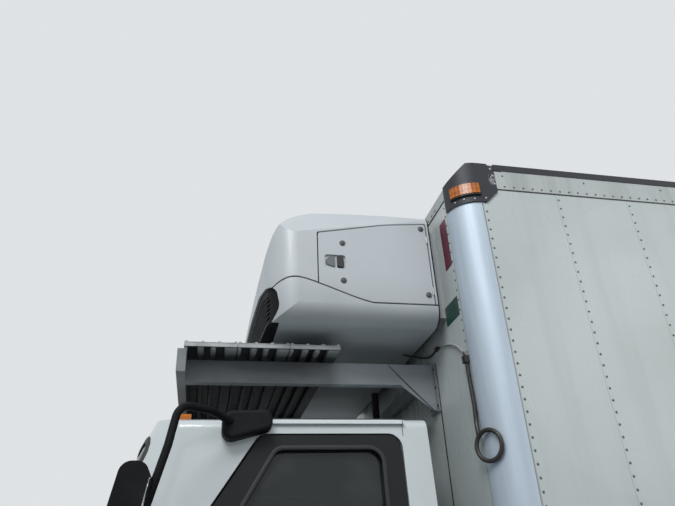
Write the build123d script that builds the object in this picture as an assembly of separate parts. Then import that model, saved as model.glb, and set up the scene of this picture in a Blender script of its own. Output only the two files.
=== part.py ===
from build123d import *
import math
import os

os.makedirs("parts", exist_ok=True)

# Refrigerated delivery truck, in millimetres. +X is forward, +Y is the left side, +Z is up.
# The origin lies on the ground under the middle of the truck.

# Driving dimensions: whole truck
TOTAL_LENGTH = 8080
CAB_FRONT_X = 3905
BUMPER_REACH = 135
CAB_SPACE = 1930
DOCK_RUBBER = 50
FRONT_X = CAB_FRONT_X + BUMPER_REACH
TO_MIDDLE = TOTAL_LENGTH / 2 - FRONT_X

# Driving dimensions: insulated box body
BOX_WIDTH = 2440
BOX_TOP = 3385
BOX_BOTTOM = 945
WALL = 75
FLOOR = 130
ROOF = 100
REAR_FRAME = 100
POST_RADIUS = 132
RAIL_PROUD = 4
BOX_LENGTH = TOTAL_LENGTH - DOCK_RUBBER - CAB_SPACE
BOX_FRONT_X = FRONT_X - CAB_SPACE
BOX_REAR_X = BOX_FRONT_X - BOX_LENGTH
HALF_BOX = BOX_WIDTH / 2
POST_X = BOX_FRONT_X - POST_RADIUS
POST_Y = HALF_BOX - POST_RADIUS
FLOOR_TOP = BOX_BOTTOM + FLOOR
WALL_TOP = BOX_TOP - ROOF

# Driving dimensions: chassis
RAIL_TOP = 870
RAIL_DEPTH = 210
RAIL_FLANGE = 75
RAIL_WEB = 8
RAIL_OUTER_Y = 425
RAIL_FRONT_X = CAB_FRONT_X - 5
RAIL_REAR_X = BOX_REAR_X + 30
RAIL_BOTTOM = RAIL_TOP - RAIL_DEPTH

# Driving dimensions: wheels
TYRE_RADIUS = 405
TYRE_WIDTH = 226
RIM_RADIUS = 247.5
FRONT_AXLE_X = 2930
WHEELBASE = 4470
REAR_AXLE_X = FRONT_AXLE_X - WHEELBASE
FRONT_TYRE_Y = 840
KINGPIN_Y = 735
DUAL_OUTER_Y = 962
DUAL_INNER_Y = 702
STUDS = 8
AXLE_Z = TYRE_RADIUS

# Driving dimensions: cab
CAB_REAR_X = 2295
CAB_HALF = 1000
CAB_ROOF_HALF = 950
CAB_ROOF_Z = 2335
BELT_Z = 1350
CAB_WALL = 60
CAB_UNDERSIDE_Z = 960
NOSE_REAR_X = 3400
CAB_NOSE_Z = 700
SCREEN_LEAN = 0.465
DOOR_GAP = 7

# Driving dimensions: refrigeration unit
UNIT_HALF = 955
UNIT_REAR_X = BOX_FRONT_X + 55
UNIT_FRONT_X = 3015
UNIT_BOTTOM = 2620
UNIT_TOP = 3235
UNIT_SKIN = 10
UNIT_DOOR = 26
UNIT_SEAM = 8

# Driving dimensions: catwalk over the cab
DECK_Z = 2520
PLANK_WIDTH = 238
PLANK_PITCH = 240
PLANKS = 3
PLANK_DEPTH = 50
DECK_HALF = 810
DECK_REAR_X = 2625
ARM_Y = 630
ARM_DEPTH = 105


# Building helpers

def block(x, y, z):
    size = [high - low for low, high in (x, y, z)]
    middle = [(high + low) / 2 for low, high in (x, y, z)]
    return Pos(*middle) * Box(*size)


def rounded(rows):
    """Closed outline of straight lines. Each row is (first, second, corner radius)."""
    count = len(rows)
    starts, ends, mids = [], [], []
    for i, (a, b, radius) in enumerate(rows):
        corner = Vector(a, b)
        back = (Vector(*rows[i - 1][:2]) - corner).normalized()
        ahead = (Vector(*rows[(i + 1) % count][:2]) - corner).normalized()
        half = math.radians(back.get_angle(ahead)) / 2
        reach = radius / math.tan(half)
        starts.append(corner + back * reach)
        ends.append(corner + ahead * reach)
        inward = (back + ahead).normalized()
        mids.append(corner + inward * (radius / math.sin(half) - radius))
    edges = []
    for i in range(count):
        if rows[i][2] > 0:
            edges.append(ThreePointArc(starts[i], mids[i], ends[i]))
        after = starts[(i + 1) % count]
        if (after - ends[i]).length > 1e-6:
            edges.append(Line(ends[i], after))
    return make_face(edges)


def slab_y(face, y_low, y_high):
    """Outline in X and Z, made solid between two values of Y."""
    plane = Plane(origin=(0, y_low, 0), x_dir=(1, 0, 0), z_dir=(0, -1, 0))
    return extrude(plane * face, y_high - y_low, dir=(0, 1, 0))


def slab_x(face, x_low, x_high):
    """Outline in Y and Z, made solid between two values of X."""
    plane = Plane(origin=(x_low, 0, 0), x_dir=(0, 1, 0), z_dir=(1, 0, 0))
    return extrude(plane * face, x_high - x_low, dir=(1, 0, 0))


def slab_z(face, z_low, z_high):
    return extrude(Pos(0, 0, z_low) * face, z_high - z_low, dir=(0, 0, 1))


def rod_y(radius, x, z, y_low, y_high):
    return Pos(x, (y_low + y_high) / 2, z) * Rot(90, 0, 0) * Cylinder(radius, y_high - y_low)


def rod_x(radius, y, z, x_low, x_high):
    return Pos((x_low + x_high) / 2, y, z) * Rot(0, 90, 0) * Cylinder(radius, x_high - x_low)


def rod_z(radius, x, y, z_low, z_high):
    return Pos(x, y, (z_low + z_high) / 2) * Cylinder(radius, z_high - z_low)


def pipe(points, radii, radius):
    """Round bar along straight runs with an arc at each inner corner."""
    path = FilletPolyline(*points, radius=radii)
    start = Plane(origin=path @ 0, z_dir=path % 0)
    return sweep(start * Circle(radius), path=path)


# The outline from above is a hair wider than the flat sides that the front outline gives
CLEAR_OF_PLANE = 0.05


def crowned_plan(inset, half, front, rear, corner, crown):
    """Outline from above: flat sides, a round corner each side and a slightly crowned front."""
    corner_y = half - corner
    turn = math.asin(corner_y / (crown - corner))
    corner_x = front - crown + (crown - corner) * math.cos(turn)
    side_y = half - inset
    back = rear + inset

    def on_corner(angle, side):
        reach = corner - inset
        return (corner_x + reach * math.cos(angle), side * (corner_y + reach * math.sin(angle)))

    quarter = math.pi / 2
    middle = (turn + quarter) / 2
    return make_face([
        ThreePointArc(on_corner(turn, -1), (front - inset, 0), on_corner(turn, 1)),
        ThreePointArc(on_corner(turn, 1), on_corner(middle, 1), on_corner(quarter, 1)),
        Line((corner_x, side_y), (back, side_y)),
        Line((back, side_y), (back, -side_y)),
        Line((back, -side_y), (corner_x, -side_y)),
        ThreePointArc(on_corner(quarter, -1), on_corner(middle, -1), on_corner(turn, -1)),
    ])


def right_of(solid):
    """The same piece on the right side of the truck."""
    return mirror(solid, about=Plane.XZ)


def save(name, *solids):
    flat = []
    for item in solids:
        flat.extend(item.solids())
    flat = [Pos(TO_MIDDLE, 0, 0) * solid for solid in flat]
    shape = flat[0] if len(flat) == 1 else Compound(children=flat)
    export_step(shape, os.path.join("parts", name + ".step"))


# Chassis rails: two channels open towards the middle, with crossmembers between the webs

rail = block(
    (RAIL_REAR_X, RAIL_FRONT_X), (RAIL_OUTER_Y - RAIL_FLANGE, RAIL_OUTER_Y), (RAIL_BOTTOM, RAIL_TOP)
)
rail -= block(
    (RAIL_REAR_X - 1, RAIL_FRONT_X + 1),
    (RAIL_OUTER_Y - RAIL_FLANGE - 1, RAIL_OUTER_Y - RAIL_WEB),
    (RAIL_BOTTOM + RAIL_WEB, RAIL_TOP - RAIL_WEB),
)
save("chassis_rails", rail, right_of(rail))

CROSS_X = (
    RAIL_REAR_X + 160, (RAIL_REAR_X + REAR_AXLE_X) / 2, REAR_AXLE_X - 450, REAR_AXLE_X + 450,
    REAR_AXLE_X + 1540, 1150, RAIL_FRONT_X - 250,
)
CROSS_LENGTH = 90
CROSS_HALF = RAIL_OUTER_Y - RAIL_WEB
CROSS_Z = (RAIL_BOTTOM + 40, RAIL_TOP - 40)
crossmembers = []
for x in CROSS_X:
    shape = block((x - CROSS_LENGTH / 2, x + CROSS_LENGTH / 2), (-CROSS_HALF, CROSS_HALF), CROSS_Z)
    shape -= block(
        (x - CROSS_LENGTH / 2 + RAIL_WEB, x + CROSS_LENGTH / 2 + 1),
        (-CROSS_HALF + RAIL_WEB, CROSS_HALF - RAIL_WEB),
        (CROSS_Z[0] + RAIL_WEB, CROSS_Z[1] - RAIL_WEB),
    )
    crossmembers.append(shape)
save("crossmembers", *crossmembers)

# Engine with its gearbox, one plain mass between the rails under the cab

ENGINE_X = (2420, 3330)
ENGINE_HALF = 300
ENGINE_Z = (560, 940)
GEARBOX_REAR_X = 1750
GEARBOX_HALF = 170
GEARBOX_Z = (520, 790)
ENGINE_FOOT_X = (2800, 2900)
ENGINE_FOOT_Z = (720, 780)
engine = block(ENGINE_X, (-ENGINE_HALF, ENGINE_HALF), ENGINE_Z)
engine += block((GEARBOX_REAR_X, ENGINE_X[0]), (-GEARBOX_HALF, GEARBOX_HALF), GEARBOX_Z)
for y_side in (-1, 1):
    foot = (y_side * ENGINE_HALF, y_side * (RAIL_OUTER_Y - RAIL_WEB))
    engine += block(ENGINE_FOOT_X, (min(foot), max(foot)), ENGINE_FOOT_Z)
save("engine_block", engine)

# Front axle: a dropped beam with a fork at each end for the knuckle

BEAM_Z = 360
BEAM_DEPTH = 90
BEAM_WIDTH = 90
EYE_RADIUS = 48
KINGPIN_RADIUS = 22
KINGPIN_FIT = 0.05
EYE_HALF = 45
beam_face = rounded([
    (-KINGPIN_Y, AXLE_Z - EYE_HALF, 0),
    (-KINGPIN_Y + 120, AXLE_Z - EYE_HALF, 60),
    (-KINGPIN_Y + 230, BEAM_Z - BEAM_DEPTH, 60),
    (KINGPIN_Y - 230, BEAM_Z - BEAM_DEPTH, 60),
    (KINGPIN_Y - 120, AXLE_Z - EYE_HALF, 60),
    (KINGPIN_Y, AXLE_Z - EYE_HALF, 0),
    (KINGPIN_Y, AXLE_Z + EYE_HALF, 0),
    (KINGPIN_Y - 130, AXLE_Z + EYE_HALF, 60),
    (KINGPIN_Y - 250, BEAM_Z, 60),
    (-KINGPIN_Y + 250, BEAM_Z, 60),
    (-KINGPIN_Y + 130, AXLE_Z + EYE_HALF, 60),
    (-KINGPIN_Y, AXLE_Z + EYE_HALF, 0),
])
front_axle = slab_x(beam_face, FRONT_AXLE_X - BEAM_WIDTH / 2, FRONT_AXLE_X + BEAM_WIDTH / 2)
for x_side in (-1, 1):
    groove = sorted((FRONT_AXLE_X + x_side * 15, FRONT_AXLE_X + x_side * 60))
    front_axle -= block(groove, (-330, 330), (BEAM_Z - BEAM_DEPTH + 18, BEAM_Z - 18))
for y_side in (-1, 1):
    eye = rod_z(EYE_RADIUS, FRONT_AXLE_X, y_side * KINGPIN_Y, AXLE_Z - EYE_HALF, AXLE_Z + EYE_HALF)
    bore_z = (AXLE_Z - EYE_HALF - 1, AXLE_Z + EYE_HALF + 1)
    bore = rod_z(KINGPIN_RADIUS + KINGPIN_FIT, FRONT_AXLE_X, y_side * KINGPIN_Y, *bore_z)
    front_axle = front_axle + eye - bore
FRONT_SPRING_Y = 385
FRONT_SEAT_Z = 450
for y_side in (-1, 1):
    seat_y = (y_side * FRONT_SPRING_Y - 40, y_side * FRONT_SPRING_Y + 40)
    front_axle += block((FRONT_AXLE_X - 60, FRONT_AXLE_X + 60), seat_y, (BEAM_Z - 10, FRONT_SEAT_Z))
save("front_axle", front_axle)

# Steering knuckles: fork ears round the axle eye, kingpin, spindle and steering arm

SPINDLE_RADIUS = 35
EAR_GAP = 1
EAR = 40
EAR_X = (FRONT_AXLE_X - 45, FRONT_AXLE_X + 45)
SPINDLE_END_Y = 945
ARM_LENGTH = 150
ARM_INSET = 60
ARM_END_Y = KINGPIN_Y - ARM_INSET
ARM_END_Z = AXLE_Z - EYE_HALF - EAR_GAP - EAR


def knuckle():
    low = AXLE_Z - EYE_HALF - EAR_GAP
    high = AXLE_Z + EYE_HALF + EAR_GAP
    upper = rod_z(EYE_RADIUS, FRONT_AXLE_X, KINGPIN_Y, high, high + EAR)
    lower = rod_z(EYE_RADIUS, FRONT_AXLE_X, KINGPIN_Y, low - EAR, low)
    pin = rod_z(KINGPIN_RADIUS, FRONT_AXLE_X, KINGPIN_Y, low - EAR, high + EAR)
    back = block(EAR_X, (KINGPIN_Y + 52, KINGPIN_Y + 85), (low - EAR, high + EAR))
    upper += block(EAR_X, (KINGPIN_Y, KINGPIN_Y + 60), (high, high + EAR))
    lower += block(EAR_X, (KINGPIN_Y, KINGPIN_Y + 60), (low - EAR, low))
    spindle = rod_y(SPINDLE_RADIUS, FRONT_AXLE_X, AXLE_Z, KINGPIN_Y + 80, SPINDLE_END_Y)
    arm_plan = make_face(Polyline(
        (FRONT_AXLE_X, KINGPIN_Y - 30), (FRONT_AXLE_X, KINGPIN_Y + 30),
        (FRONT_AXLE_X - ARM_LENGTH, ARM_END_Y + 18), (FRONT_AXLE_X - ARM_LENGTH, ARM_END_Y - 18), close=True,
    ))
    arm = slab_z(arm_plan, ARM_END_Z, ARM_END_Z + 25)
    arm += rod_z(24, FRONT_AXLE_X - ARM_LENGTH, ARM_END_Y, ARM_END_Z, ARM_END_Z + 25)
    return upper + lower + pin + back + spindle + arm


knuckle_left = knuckle()
save("knuckle_left", knuckle_left)
save("knuckle_right", right_of(knuckle_left))

# Track rod behind the axle, just under the two steering arms

ROD_RADIUS = 18
ROD_GAP = 0.3
ROD_EYE_TOP = ARM_END_Z - ROD_GAP
track_rod = rod_y(ROD_RADIUS, FRONT_AXLE_X - ARM_LENGTH, ROD_EYE_TOP - 22, -ARM_END_Y, ARM_END_Y)
for y_side in (-1, 1):
    track_rod += rod_z(26, FRONT_AXLE_X - ARM_LENGTH, y_side * ARM_END_Y, ROD_EYE_TOP - 44, ROD_EYE_TOP)
save("track_rod", track_rod)

# Rear axle: tube, round drive housing and spindles, and the drive shaft that reaches it

REAR_TUBE_RADIUS = 65
REAR_SPRING_Y = 472
REAR_SEAT_Z = AXLE_Z + REAR_TUBE_RADIUS + 20
HUB_FACE_Y = (DUAL_OUTER_Y + DUAL_INNER_Y) / 2
rear_axle = rod_y(REAR_TUBE_RADIUS, REAR_AXLE_X, AXLE_Z, -560, 560)
rear_axle += rod_y(40, REAR_AXLE_X, AXLE_Z, -(HUB_FACE_Y + 60), HUB_FACE_Y + 60)
rear_axle += Pos(REAR_AXLE_X, 0, AXLE_Z) * Sphere(185)
rear_axle += rod_x(80, 0, AXLE_Z + 20, REAR_AXLE_X, REAR_AXLE_X + 300)
for y_side in (-1, 1):
    rear_axle += block(
        (REAR_AXLE_X - 70, REAR_AXLE_X + 70),
        (y_side * REAR_SPRING_Y - 40, y_side * REAR_SPRING_Y + 40),
        (AXLE_Z, REAR_SEAT_Z),
    )
save("rear_axle", rear_axle)

SHAFT_RADIUS = 45
shaft_start = Vector(REAR_AXLE_X + 300, 0, AXLE_Z + 20)
shaft_end = Vector(GEARBOX_REAR_X, 0, 650)
shaft_middle = Vector(250, 0, 600)


def tube_between(start, end, radius):
    plane = Plane(origin=start, z_dir=end - start)
    return extrude(plane * Circle(radius), (end - start).length)


propshaft = tube_between(shaft_start, shaft_middle, SHAFT_RADIUS)
propshaft += tube_between(shaft_middle, shaft_end, SHAFT_RADIUS)
propshaft += rod_x(60, 0, shaft_start.Z, shaft_start.X, shaft_start.X + 40)
propshaft += rod_x(60, 0, shaft_end.Z, shaft_end.X - 40, shaft_end.X)
propshaft += Pos(*shaft_middle) * Sphere(75)
propshaft += block((shaft_middle.X - 30, shaft_middle.X + 30), (-60, 60), (shaft_middle.Z, 700))
propshaft += block((shaft_middle.X - 30, shaft_middle.X + 30), (-CROSS_HALF, CROSS_HALF), (700, 730))
propshaft = propshaft - block((-2000, shaft_start.X), (-200, 200), (200, 700)) - block(
    (shaft_end.X, shaft_end.X + 200), (-200, 200), (400, 900)
)
save("propshaft", propshaft)

# Leaf springs: arched packs that lie on the axles and hang from the rails

LEAF = 12
SPRINGS = (
    # axle x, spring y, half length, seat height, leaves, eye height
    (FRONT_AXLE_X, FRONT_SPRING_Y, 600, FRONT_SEAT_Z, 4, 560),
    (REAR_AXLE_X, REAR_SPRING_Y, 650, REAR_SEAT_Z, 6, 640),
)
springs = []
for axle_x, spring_y, half, seat_z, leaves, eye_z in SPRINGS:
    shape = None
    for leaf in range(leaves):
        reach = half * (1 - 0.14 * (leaves - 1 - leaf))
        rise = (eye_z - seat_z - leaves * LEAF) * (reach / half) ** 2
        base = seat_z + leaf * LEAF
        low = ThreePointArc((axle_x - reach, base + rise), (axle_x, base), (axle_x + reach, base + rise))
        high = ThreePointArc(
            (axle_x + reach, base + rise + LEAF), (axle_x, base + LEAF), (axle_x - reach, base + rise + LEAF)
        )
        closed = make_face([low, Line(low @ 1, high @ 0), high, Line(high @ 1, low @ 0)])
        piece = slab_y(closed, spring_y - 35, spring_y + 35)
        shape = piece if shape is None else shape + piece
    for x_side in (-1, 1):
        hanger_x = axle_x + x_side * half
        hanger_top = RAIL_BOTTOM if spring_y < RAIL_OUTER_Y else RAIL_BOTTOM + 120
        inner_y = spring_y - 35 if spring_y < RAIL_OUTER_Y else RAIL_OUTER_Y
        shape += block((hanger_x - 30, hanger_x + 30), (inner_y, spring_y + 35), (eye_z - 40, hanger_top))
    springs += [shape, right_of(shape)]
save("leaf_springs", *springs)

# Tyres and rims: turned about the axle line

def turned(rows, x, z):
    """Rows of (axial distance, radius) turned about a line along Y."""
    face = make_face(Polyline(*[(a, r) for a, r in rows], close=True))
    plane = Plane(origin=(x, 0, z), x_dir=(0, 1, 0), z_dir=(-1, 0, 0))
    return revolve(plane * face, axis=Axis((x, 0, z), (0, 1, 0)))


RIM_HALF = TYRE_WIDTH / 2 * 0.72
FLANGE = 14
BEAD_GAP = 0.3


def tyre(y, x):
    half = TYRE_WIDTH / 2
    seat = RIM_RADIUS + BEAD_GAP
    rows = [
        (y - RIM_HALF, seat), (y - RIM_HALF, seat + FLANGE),
        (y - half * 0.93, RIM_RADIUS + 32), (y - half, RIM_RADIUS + 78),
        (y - half * 0.95, TYRE_RADIUS - 22), (y - half * 0.84, TYRE_RADIUS - 3), (y, TYRE_RADIUS),
        (y + half * 0.84, TYRE_RADIUS - 3), (y + half * 0.95, TYRE_RADIUS - 22), (y + half, RIM_RADIUS + 78),
        (y + half * 0.93, RIM_RADIUS + 32), (y + RIM_HALF, seat + FLANGE), (y + RIM_HALF, seat),
    ]
    return turned(rows, x, AXLE_Z)


RIM_DISC = 12
STUD_CIRCLE = 137.5
NUT_RADIUS = 16
HAND_HOLES = 8
HAND_HOLE_CIRCLE = 190
HAND_HOLE_RADIUS = 24
HUB_RADIUS = 105


def rim(y, x, face_y, side):
    """Steel rim whose disc lies at face_y. side is 1 where the dish opens away from the middle."""
    inner = RIM_RADIUS - 10
    lip = RIM_RADIUS + FLANGE
    barrel = turned(
        [
            (y - RIM_HALF - 12, lip), (y - RIM_HALF, lip), (y - RIM_HALF, RIM_RADIUS),
            (y + RIM_HALF, RIM_RADIUS), (y + RIM_HALF, lip), (y + RIM_HALF + 12, lip),
            (y + RIM_HALF + 10, inner), (y - RIM_HALF - 10, inner),
        ],
        x, AXLE_Z,
    )
    root_y = y + side * (RIM_HALF - 40)
    disc = turned(
        [
            (face_y, 60), (face_y, 170), (root_y, inner + 5), (root_y + RIM_DISC * side, inner + 5),
            (face_y + RIM_DISC * side, 175), (face_y + RIM_DISC * side, 60),
        ],
        x, AXLE_Z,
    )
    wheel = barrel + disc
    for i in range(HAND_HOLES):
        turn = math.radians(360 / HAND_HOLES * (i + 0.5))
        hole_x = x + HAND_HOLE_CIRCLE * math.cos(turn)
        hole_z = AXLE_Z + HAND_HOLE_CIRCLE * math.sin(turn)
        wheel -= rod_y(HAND_HOLE_RADIUS, hole_x, hole_z, y - TYRE_WIDTH, y + TYRE_WIDTH)
    return wheel


def nuts(x, y_low, y_high):
    shape = None
    for i in range(STUDS):
        turn = math.radians(360 / STUDS * i)
        plane = Plane(
            origin=(x + STUD_CIRCLE * math.cos(turn), y_low, AXLE_Z + STUD_CIRCLE * math.sin(turn)),
            x_dir=(1, 0, 0), z_dir=(0, 1, 0),
        )
        nut = extrude(plane * RegularPolygon(NUT_RADIUS, 6), y_high - y_low, dir=(0, 1, 0))
        shape = nut if shape is None else shape + nut
    return shape


BEARING_FIT = 0.05
FRONT_FACE_Y = FRONT_TYRE_Y + 78
front_rim = rim(FRONT_TYRE_Y, FRONT_AXLE_X, FRONT_FACE_Y, 1)
front_rim += rod_y(HUB_RADIUS, FRONT_AXLE_X, AXLE_Z, FRONT_FACE_Y - 60, FRONT_FACE_Y + RIM_DISC)
front_rim += rod_y(70, FRONT_AXLE_X, AXLE_Z, FRONT_FACE_Y, FRONT_FACE_Y + 50)
front_rim += nuts(FRONT_AXLE_X, FRONT_FACE_Y + RIM_DISC, FRONT_FACE_Y + RIM_DISC + 26)
front_rim -= rod_y(SPINDLE_RADIUS + BEARING_FIT, FRONT_AXLE_X, AXLE_Z, KINGPIN_Y, SPINDLE_END_Y + 5)
front_tyre = tyre(FRONT_TYRE_Y, FRONT_AXLE_X)
save("front_rim_left", front_rim)
save("front_rim_right", right_of(front_rim))
save("front_tyre_left", front_tyre)
save("front_tyre_right", right_of(front_tyre))

rear_rim = rim(DUAL_OUTER_Y, REAR_AXLE_X, HUB_FACE_Y, -1)
rear_rim += rim(DUAL_INNER_Y, REAR_AXLE_X, HUB_FACE_Y, 1)
rear_rim += rod_y(HUB_RADIUS, REAR_AXLE_X, AXLE_Z, HUB_FACE_Y - 70, HUB_FACE_Y + 20)
rear_rim += rod_y(85, REAR_AXLE_X, AXLE_Z, HUB_FACE_Y, HUB_FACE_Y + 110)
rear_rim += nuts(REAR_AXLE_X, HUB_FACE_Y, HUB_FACE_Y + 30)
rear_rim -= rod_y(40 + BEARING_FIT, REAR_AXLE_X, AXLE_Z, DUAL_INNER_Y, HUB_FACE_Y + 65)
rear_tyres = [tyre(DUAL_OUTER_Y, REAR_AXLE_X), tyre(DUAL_INNER_Y, REAR_AXLE_X)]
save("rear_rims_left", rear_rim)
save("rear_rims_right", right_of(rear_rim))
save("rear_tyres_left", *rear_tyres)
save("rear_tyres_right", *[right_of(t) for t in rear_tyres])

# Side equipment hung from the rails: fuel tanks, battery box and exhaust

TANK_INNER_Y = 520


def hung(shape, xs, z_low, z_high):
    for x in xs:
        shape += block((x - 20, x + 20), (RAIL_OUTER_Y, TANK_INNER_Y + 30), (z_low, z_high))
    return shape


TANK_X = (700, 1450)
tank_face = rounded([
    (TANK_INNER_Y, 400, 70), (1080, 400, 70), (1080, 830, 70), (TANK_INNER_Y, 830, 70),
])
truck_tank = slab_x(tank_face, *TANK_X)
truck_tank = hung(truck_tank, (TANK_X[0] + 120, TANK_X[1] - 120), 600, 800)
truck_tank += rod_y(45, TANK_X[1] - 150, 700, 1075, 1105)
UNIT_TANK_X = (200, 900)
UNIT_TANK_RADIUS = 215
unit_tank = rod_x(UNIT_TANK_RADIUS, TANK_INNER_Y + UNIT_TANK_RADIUS, 600, *UNIT_TANK_X)
unit_tank = hung(unit_tank, (UNIT_TANK_X[0] + 120, UNIT_TANK_X[1] - 120), 560, 680)
save("fuel_tanks", truck_tank, right_of(unit_tank))

BATTERY_X = (1700, 2150)
battery_face = rounded([(TANK_INNER_Y, 480, 15), (1000, 480, 15), (1000, 800, 15), (TANK_INNER_Y, 800, 15)])
battery = hung(slab_x(battery_face, *BATTERY_X), (1800, 2050), 600, 780)
save("battery_box", battery)

MUFFLER_X = (1150, 1950)
MUFFLER_RADIUS = 130
MUFFLER_Y = TANK_INNER_Y + MUFFLER_RADIUS
muffler = rod_x(MUFFLER_RADIUS, MUFFLER_Y, 640, *MUFFLER_X)
muffler = hung(muffler, (MUFFLER_X[0] + 150, MUFFLER_X[1] - 150), 680, 740)
tail_pipe = pipe(
    [(MUFFLER_X[0] + 10, MUFFLER_Y, 640), (1020, MUFFLER_Y, 640), (1020, MUFFLER_Y, 520), (1020, 1080, 520)],
    [55, 55], 42,
)
save("exhaust", right_of(muffler + tail_pipe))

# Cab body: the space shared by three outlines, so every wall follows the same curves

CAB_CORNER = 300
CAB_CROWN = 3750
ROOF_EDGE_Z = CAB_ROOF_Z - 165
ROOF_PEAK = 25
ROOF_FRONT_X = 3400
BROW_X = 3560
BROW_Z = CAB_ROOF_Z - 190
PAST_FRONT_X = CAB_FRONT_X + 295


def cab_plan(inset, rear=CAB_REAR_X - 600):
    return crowned_plan(inset, CAB_HALF + CLEAR_OF_PLANE, CAB_FRONT_X, rear, CAB_CORNER, CAB_CROWN)


def cab_sides(inset):
    """Front and sides of the cab, moved inwards by inset, with neither floor nor back."""
    upper_height = 1100
    upper = extrude(
        Pos(0, 0, BELT_Z) * cab_plan(inset),
        amount=upper_height, dir=(-SCREEN_LEAN, 0, 1),
    )
    lower = slab_z(cab_plan(inset), 500, BELT_Z)
    front_view = rounded([
        (-(CAB_HALF - inset), 500, 0),
        (CAB_HALF - inset, 500, 0),
        (CAB_HALF - inset, BELT_Z, 0),
        (CAB_ROOF_HALF - inset, ROOF_EDGE_Z - inset, 50 - inset / 2),
        (0, CAB_ROOF_Z + ROOF_PEAK - inset, 1500),
        (-(CAB_ROOF_HALF - inset), ROOF_EDGE_Z - inset, 50 - inset / 2),
        (-(CAB_HALF - inset), BELT_Z, 0),
    ])
    return (upper + lower) & slab_x(front_view, CAB_REAR_X - 50, PAST_FRONT_X)


def cab_form(inset):
    """The whole cab form, moved inwards by inset."""
    side_view = rounded([
        (CAB_REAR_X + inset, CAB_UNDERSIDE_Z + inset, 0),
        (NOSE_REAR_X + inset, CAB_UNDERSIDE_Z + inset, 0),
        (NOSE_REAR_X + inset, CAB_NOSE_Z + inset, 0),
        (CAB_FRONT_X + 100, CAB_NOSE_Z + inset, 0),
        (CAB_FRONT_X + 100, BROW_Z - inset, 0),
        (BROW_X - inset, BROW_Z - inset, 130 - inset),
        (ROOF_FRONT_X - inset, CAB_ROOF_Z - inset, 160),
        (CAB_REAR_X + inset, CAB_ROOF_Z - inset, 110 - inset),
    ])
    return cab_sides(inset) & slab_y(side_view, -1200, 1200)


cab_outer = cab_form(0)
cab_inner = cab_form(CAB_WALL)

DOOR_REAR_X = 2420
DOOR_FRONT_X = 3500
DOOR_TOP_Z = 2105
DOOR_SILL_Z = 990
DOOR_STEP_Z = 740
PILLAR_TOP_X = 3005


def door_outline(grow, sweep=0):
    """Cab door seen from the side, grown by grow, with room of sweep behind its low front corner."""
    return rounded([
        (DOOR_REAR_X - grow, DOOR_SILL_Z - grow, 40),
        (3340 - grow - sweep, DOOR_SILL_Z - grow, 60),
        (3420 - grow - sweep, DOOR_STEP_Z - grow, 20),
        (DOOR_FRONT_X + grow, DOOR_STEP_Z - grow, 20),
        (DOOR_FRONT_X + grow, BELT_Z + 30, 60),
        (PILLAR_TOP_X + grow, DOOR_TOP_Z + grow, 50),
        (DOOR_REAR_X - grow, DOOR_TOP_Z + grow, 60),
    ])


WINDOW_SILL_Z = 1420
WINDOW_TOP_Z = 2055


def window_outline(shrink):
    return rounded([
        (DOOR_REAR_X + 80 + shrink, WINDOW_SILL_Z + shrink, 50),
        (3330 - shrink, WINDOW_SILL_Z + shrink, 40),
        (PILLAR_TOP_X - 60 - shrink, WINDOW_TOP_Z - shrink, 50),
        (DOOR_REAR_X + 80 + shrink, WINDOW_TOP_Z - shrink, 60),
    ])


SCREEN_LOW_Z = 1420
SCREEN_HIGH_Z = 2125
SCREEN_X = (3050, PAST_FRONT_X)


def screen_outline(shrink):
    return rounded([
        (-(905 - shrink), SCREEN_LOW_Z + shrink, 70), (905 - shrink, SCREEN_LOW_Z + shrink, 70),
        (860 - shrink, SCREEN_HIGH_Z - shrink, 90), (-(860 - shrink), SCREEN_HIGH_Z - shrink, 90),
    ])


REAR_WINDOW = (450, 1500, 1900)
REAR_WINDOW_X = (CAB_REAR_X - 20, CAB_REAR_X + CAB_WALL + 20)


def rear_window_outline(shrink):
    half, low, high = REAR_WINDOW
    half, low, high = half - shrink, low + shrink, high - shrink
    return rounded([(-half, low, 60), (half, low, 60), (half, high, 60), (-half, high, 60)])


cab_skin = cab_outer - cab_inner
SIDE_REACH = (760, 1100)
CORNER_SWEEP = 24
door_hole = slab_y(door_outline(DOOR_GAP, CORNER_SWEEP), *SIDE_REACH) - cab_sides(CAB_WALL + DOOR_GAP)
cab_shell = cab_skin - door_hole - right_of(door_hole)
cab_shell -= slab_x(screen_outline(0), *SCREEN_X)
cab_shell -= slab_x(rear_window_outline(0), *REAR_WINDOW_X)
GUTTER = 14
GUTTER_FRONT_X = 2965
gutter = block((DOOR_REAR_X - 20, GUTTER_FRONT_X), (900, 990), (2150, 2168)) & cab_form(-GUTTER)
gutter -= cab_form(CAB_WALL / 2)
cab_shell = cab_shell + gutter + right_of(gutter)
CAB_FOOT_X = (2330, 2430)
RAIL_CLEAR = 10
for y_side in (-1, 1):
    foot_y = sorted((y_side * (RAIL_OUTER_Y - 70), y_side * RAIL_OUTER_Y))
    cab_shell += block(CAB_FOOT_X, foot_y, (RAIL_TOP, CAB_UNDERSIDE_Z))
TUNNEL_HALF = RAIL_OUTER_Y + RAIL_CLEAR
TUNNEL_WALL = 30
TUNNEL_LOW_Z = 600
tunnel_bore = block(
    (NOSE_REAR_X - 20, RAIL_FRONT_X + RAIL_CLEAR), (-TUNNEL_HALF, TUNNEL_HALF), (TUNNEL_LOW_Z, RAIL_TOP)
)
tunnel = block(
    (NOSE_REAR_X, CAB_FRONT_X + 55), (-TUNNEL_HALF - TUNNEL_WALL, TUNNEL_HALF + TUNNEL_WALL),
    (TUNNEL_LOW_Z, RAIL_TOP + 40),
)
cab_shell = (cab_shell - tunnel_bore) + ((tunnel & cab_form(1)) - tunnel_bore)

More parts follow.
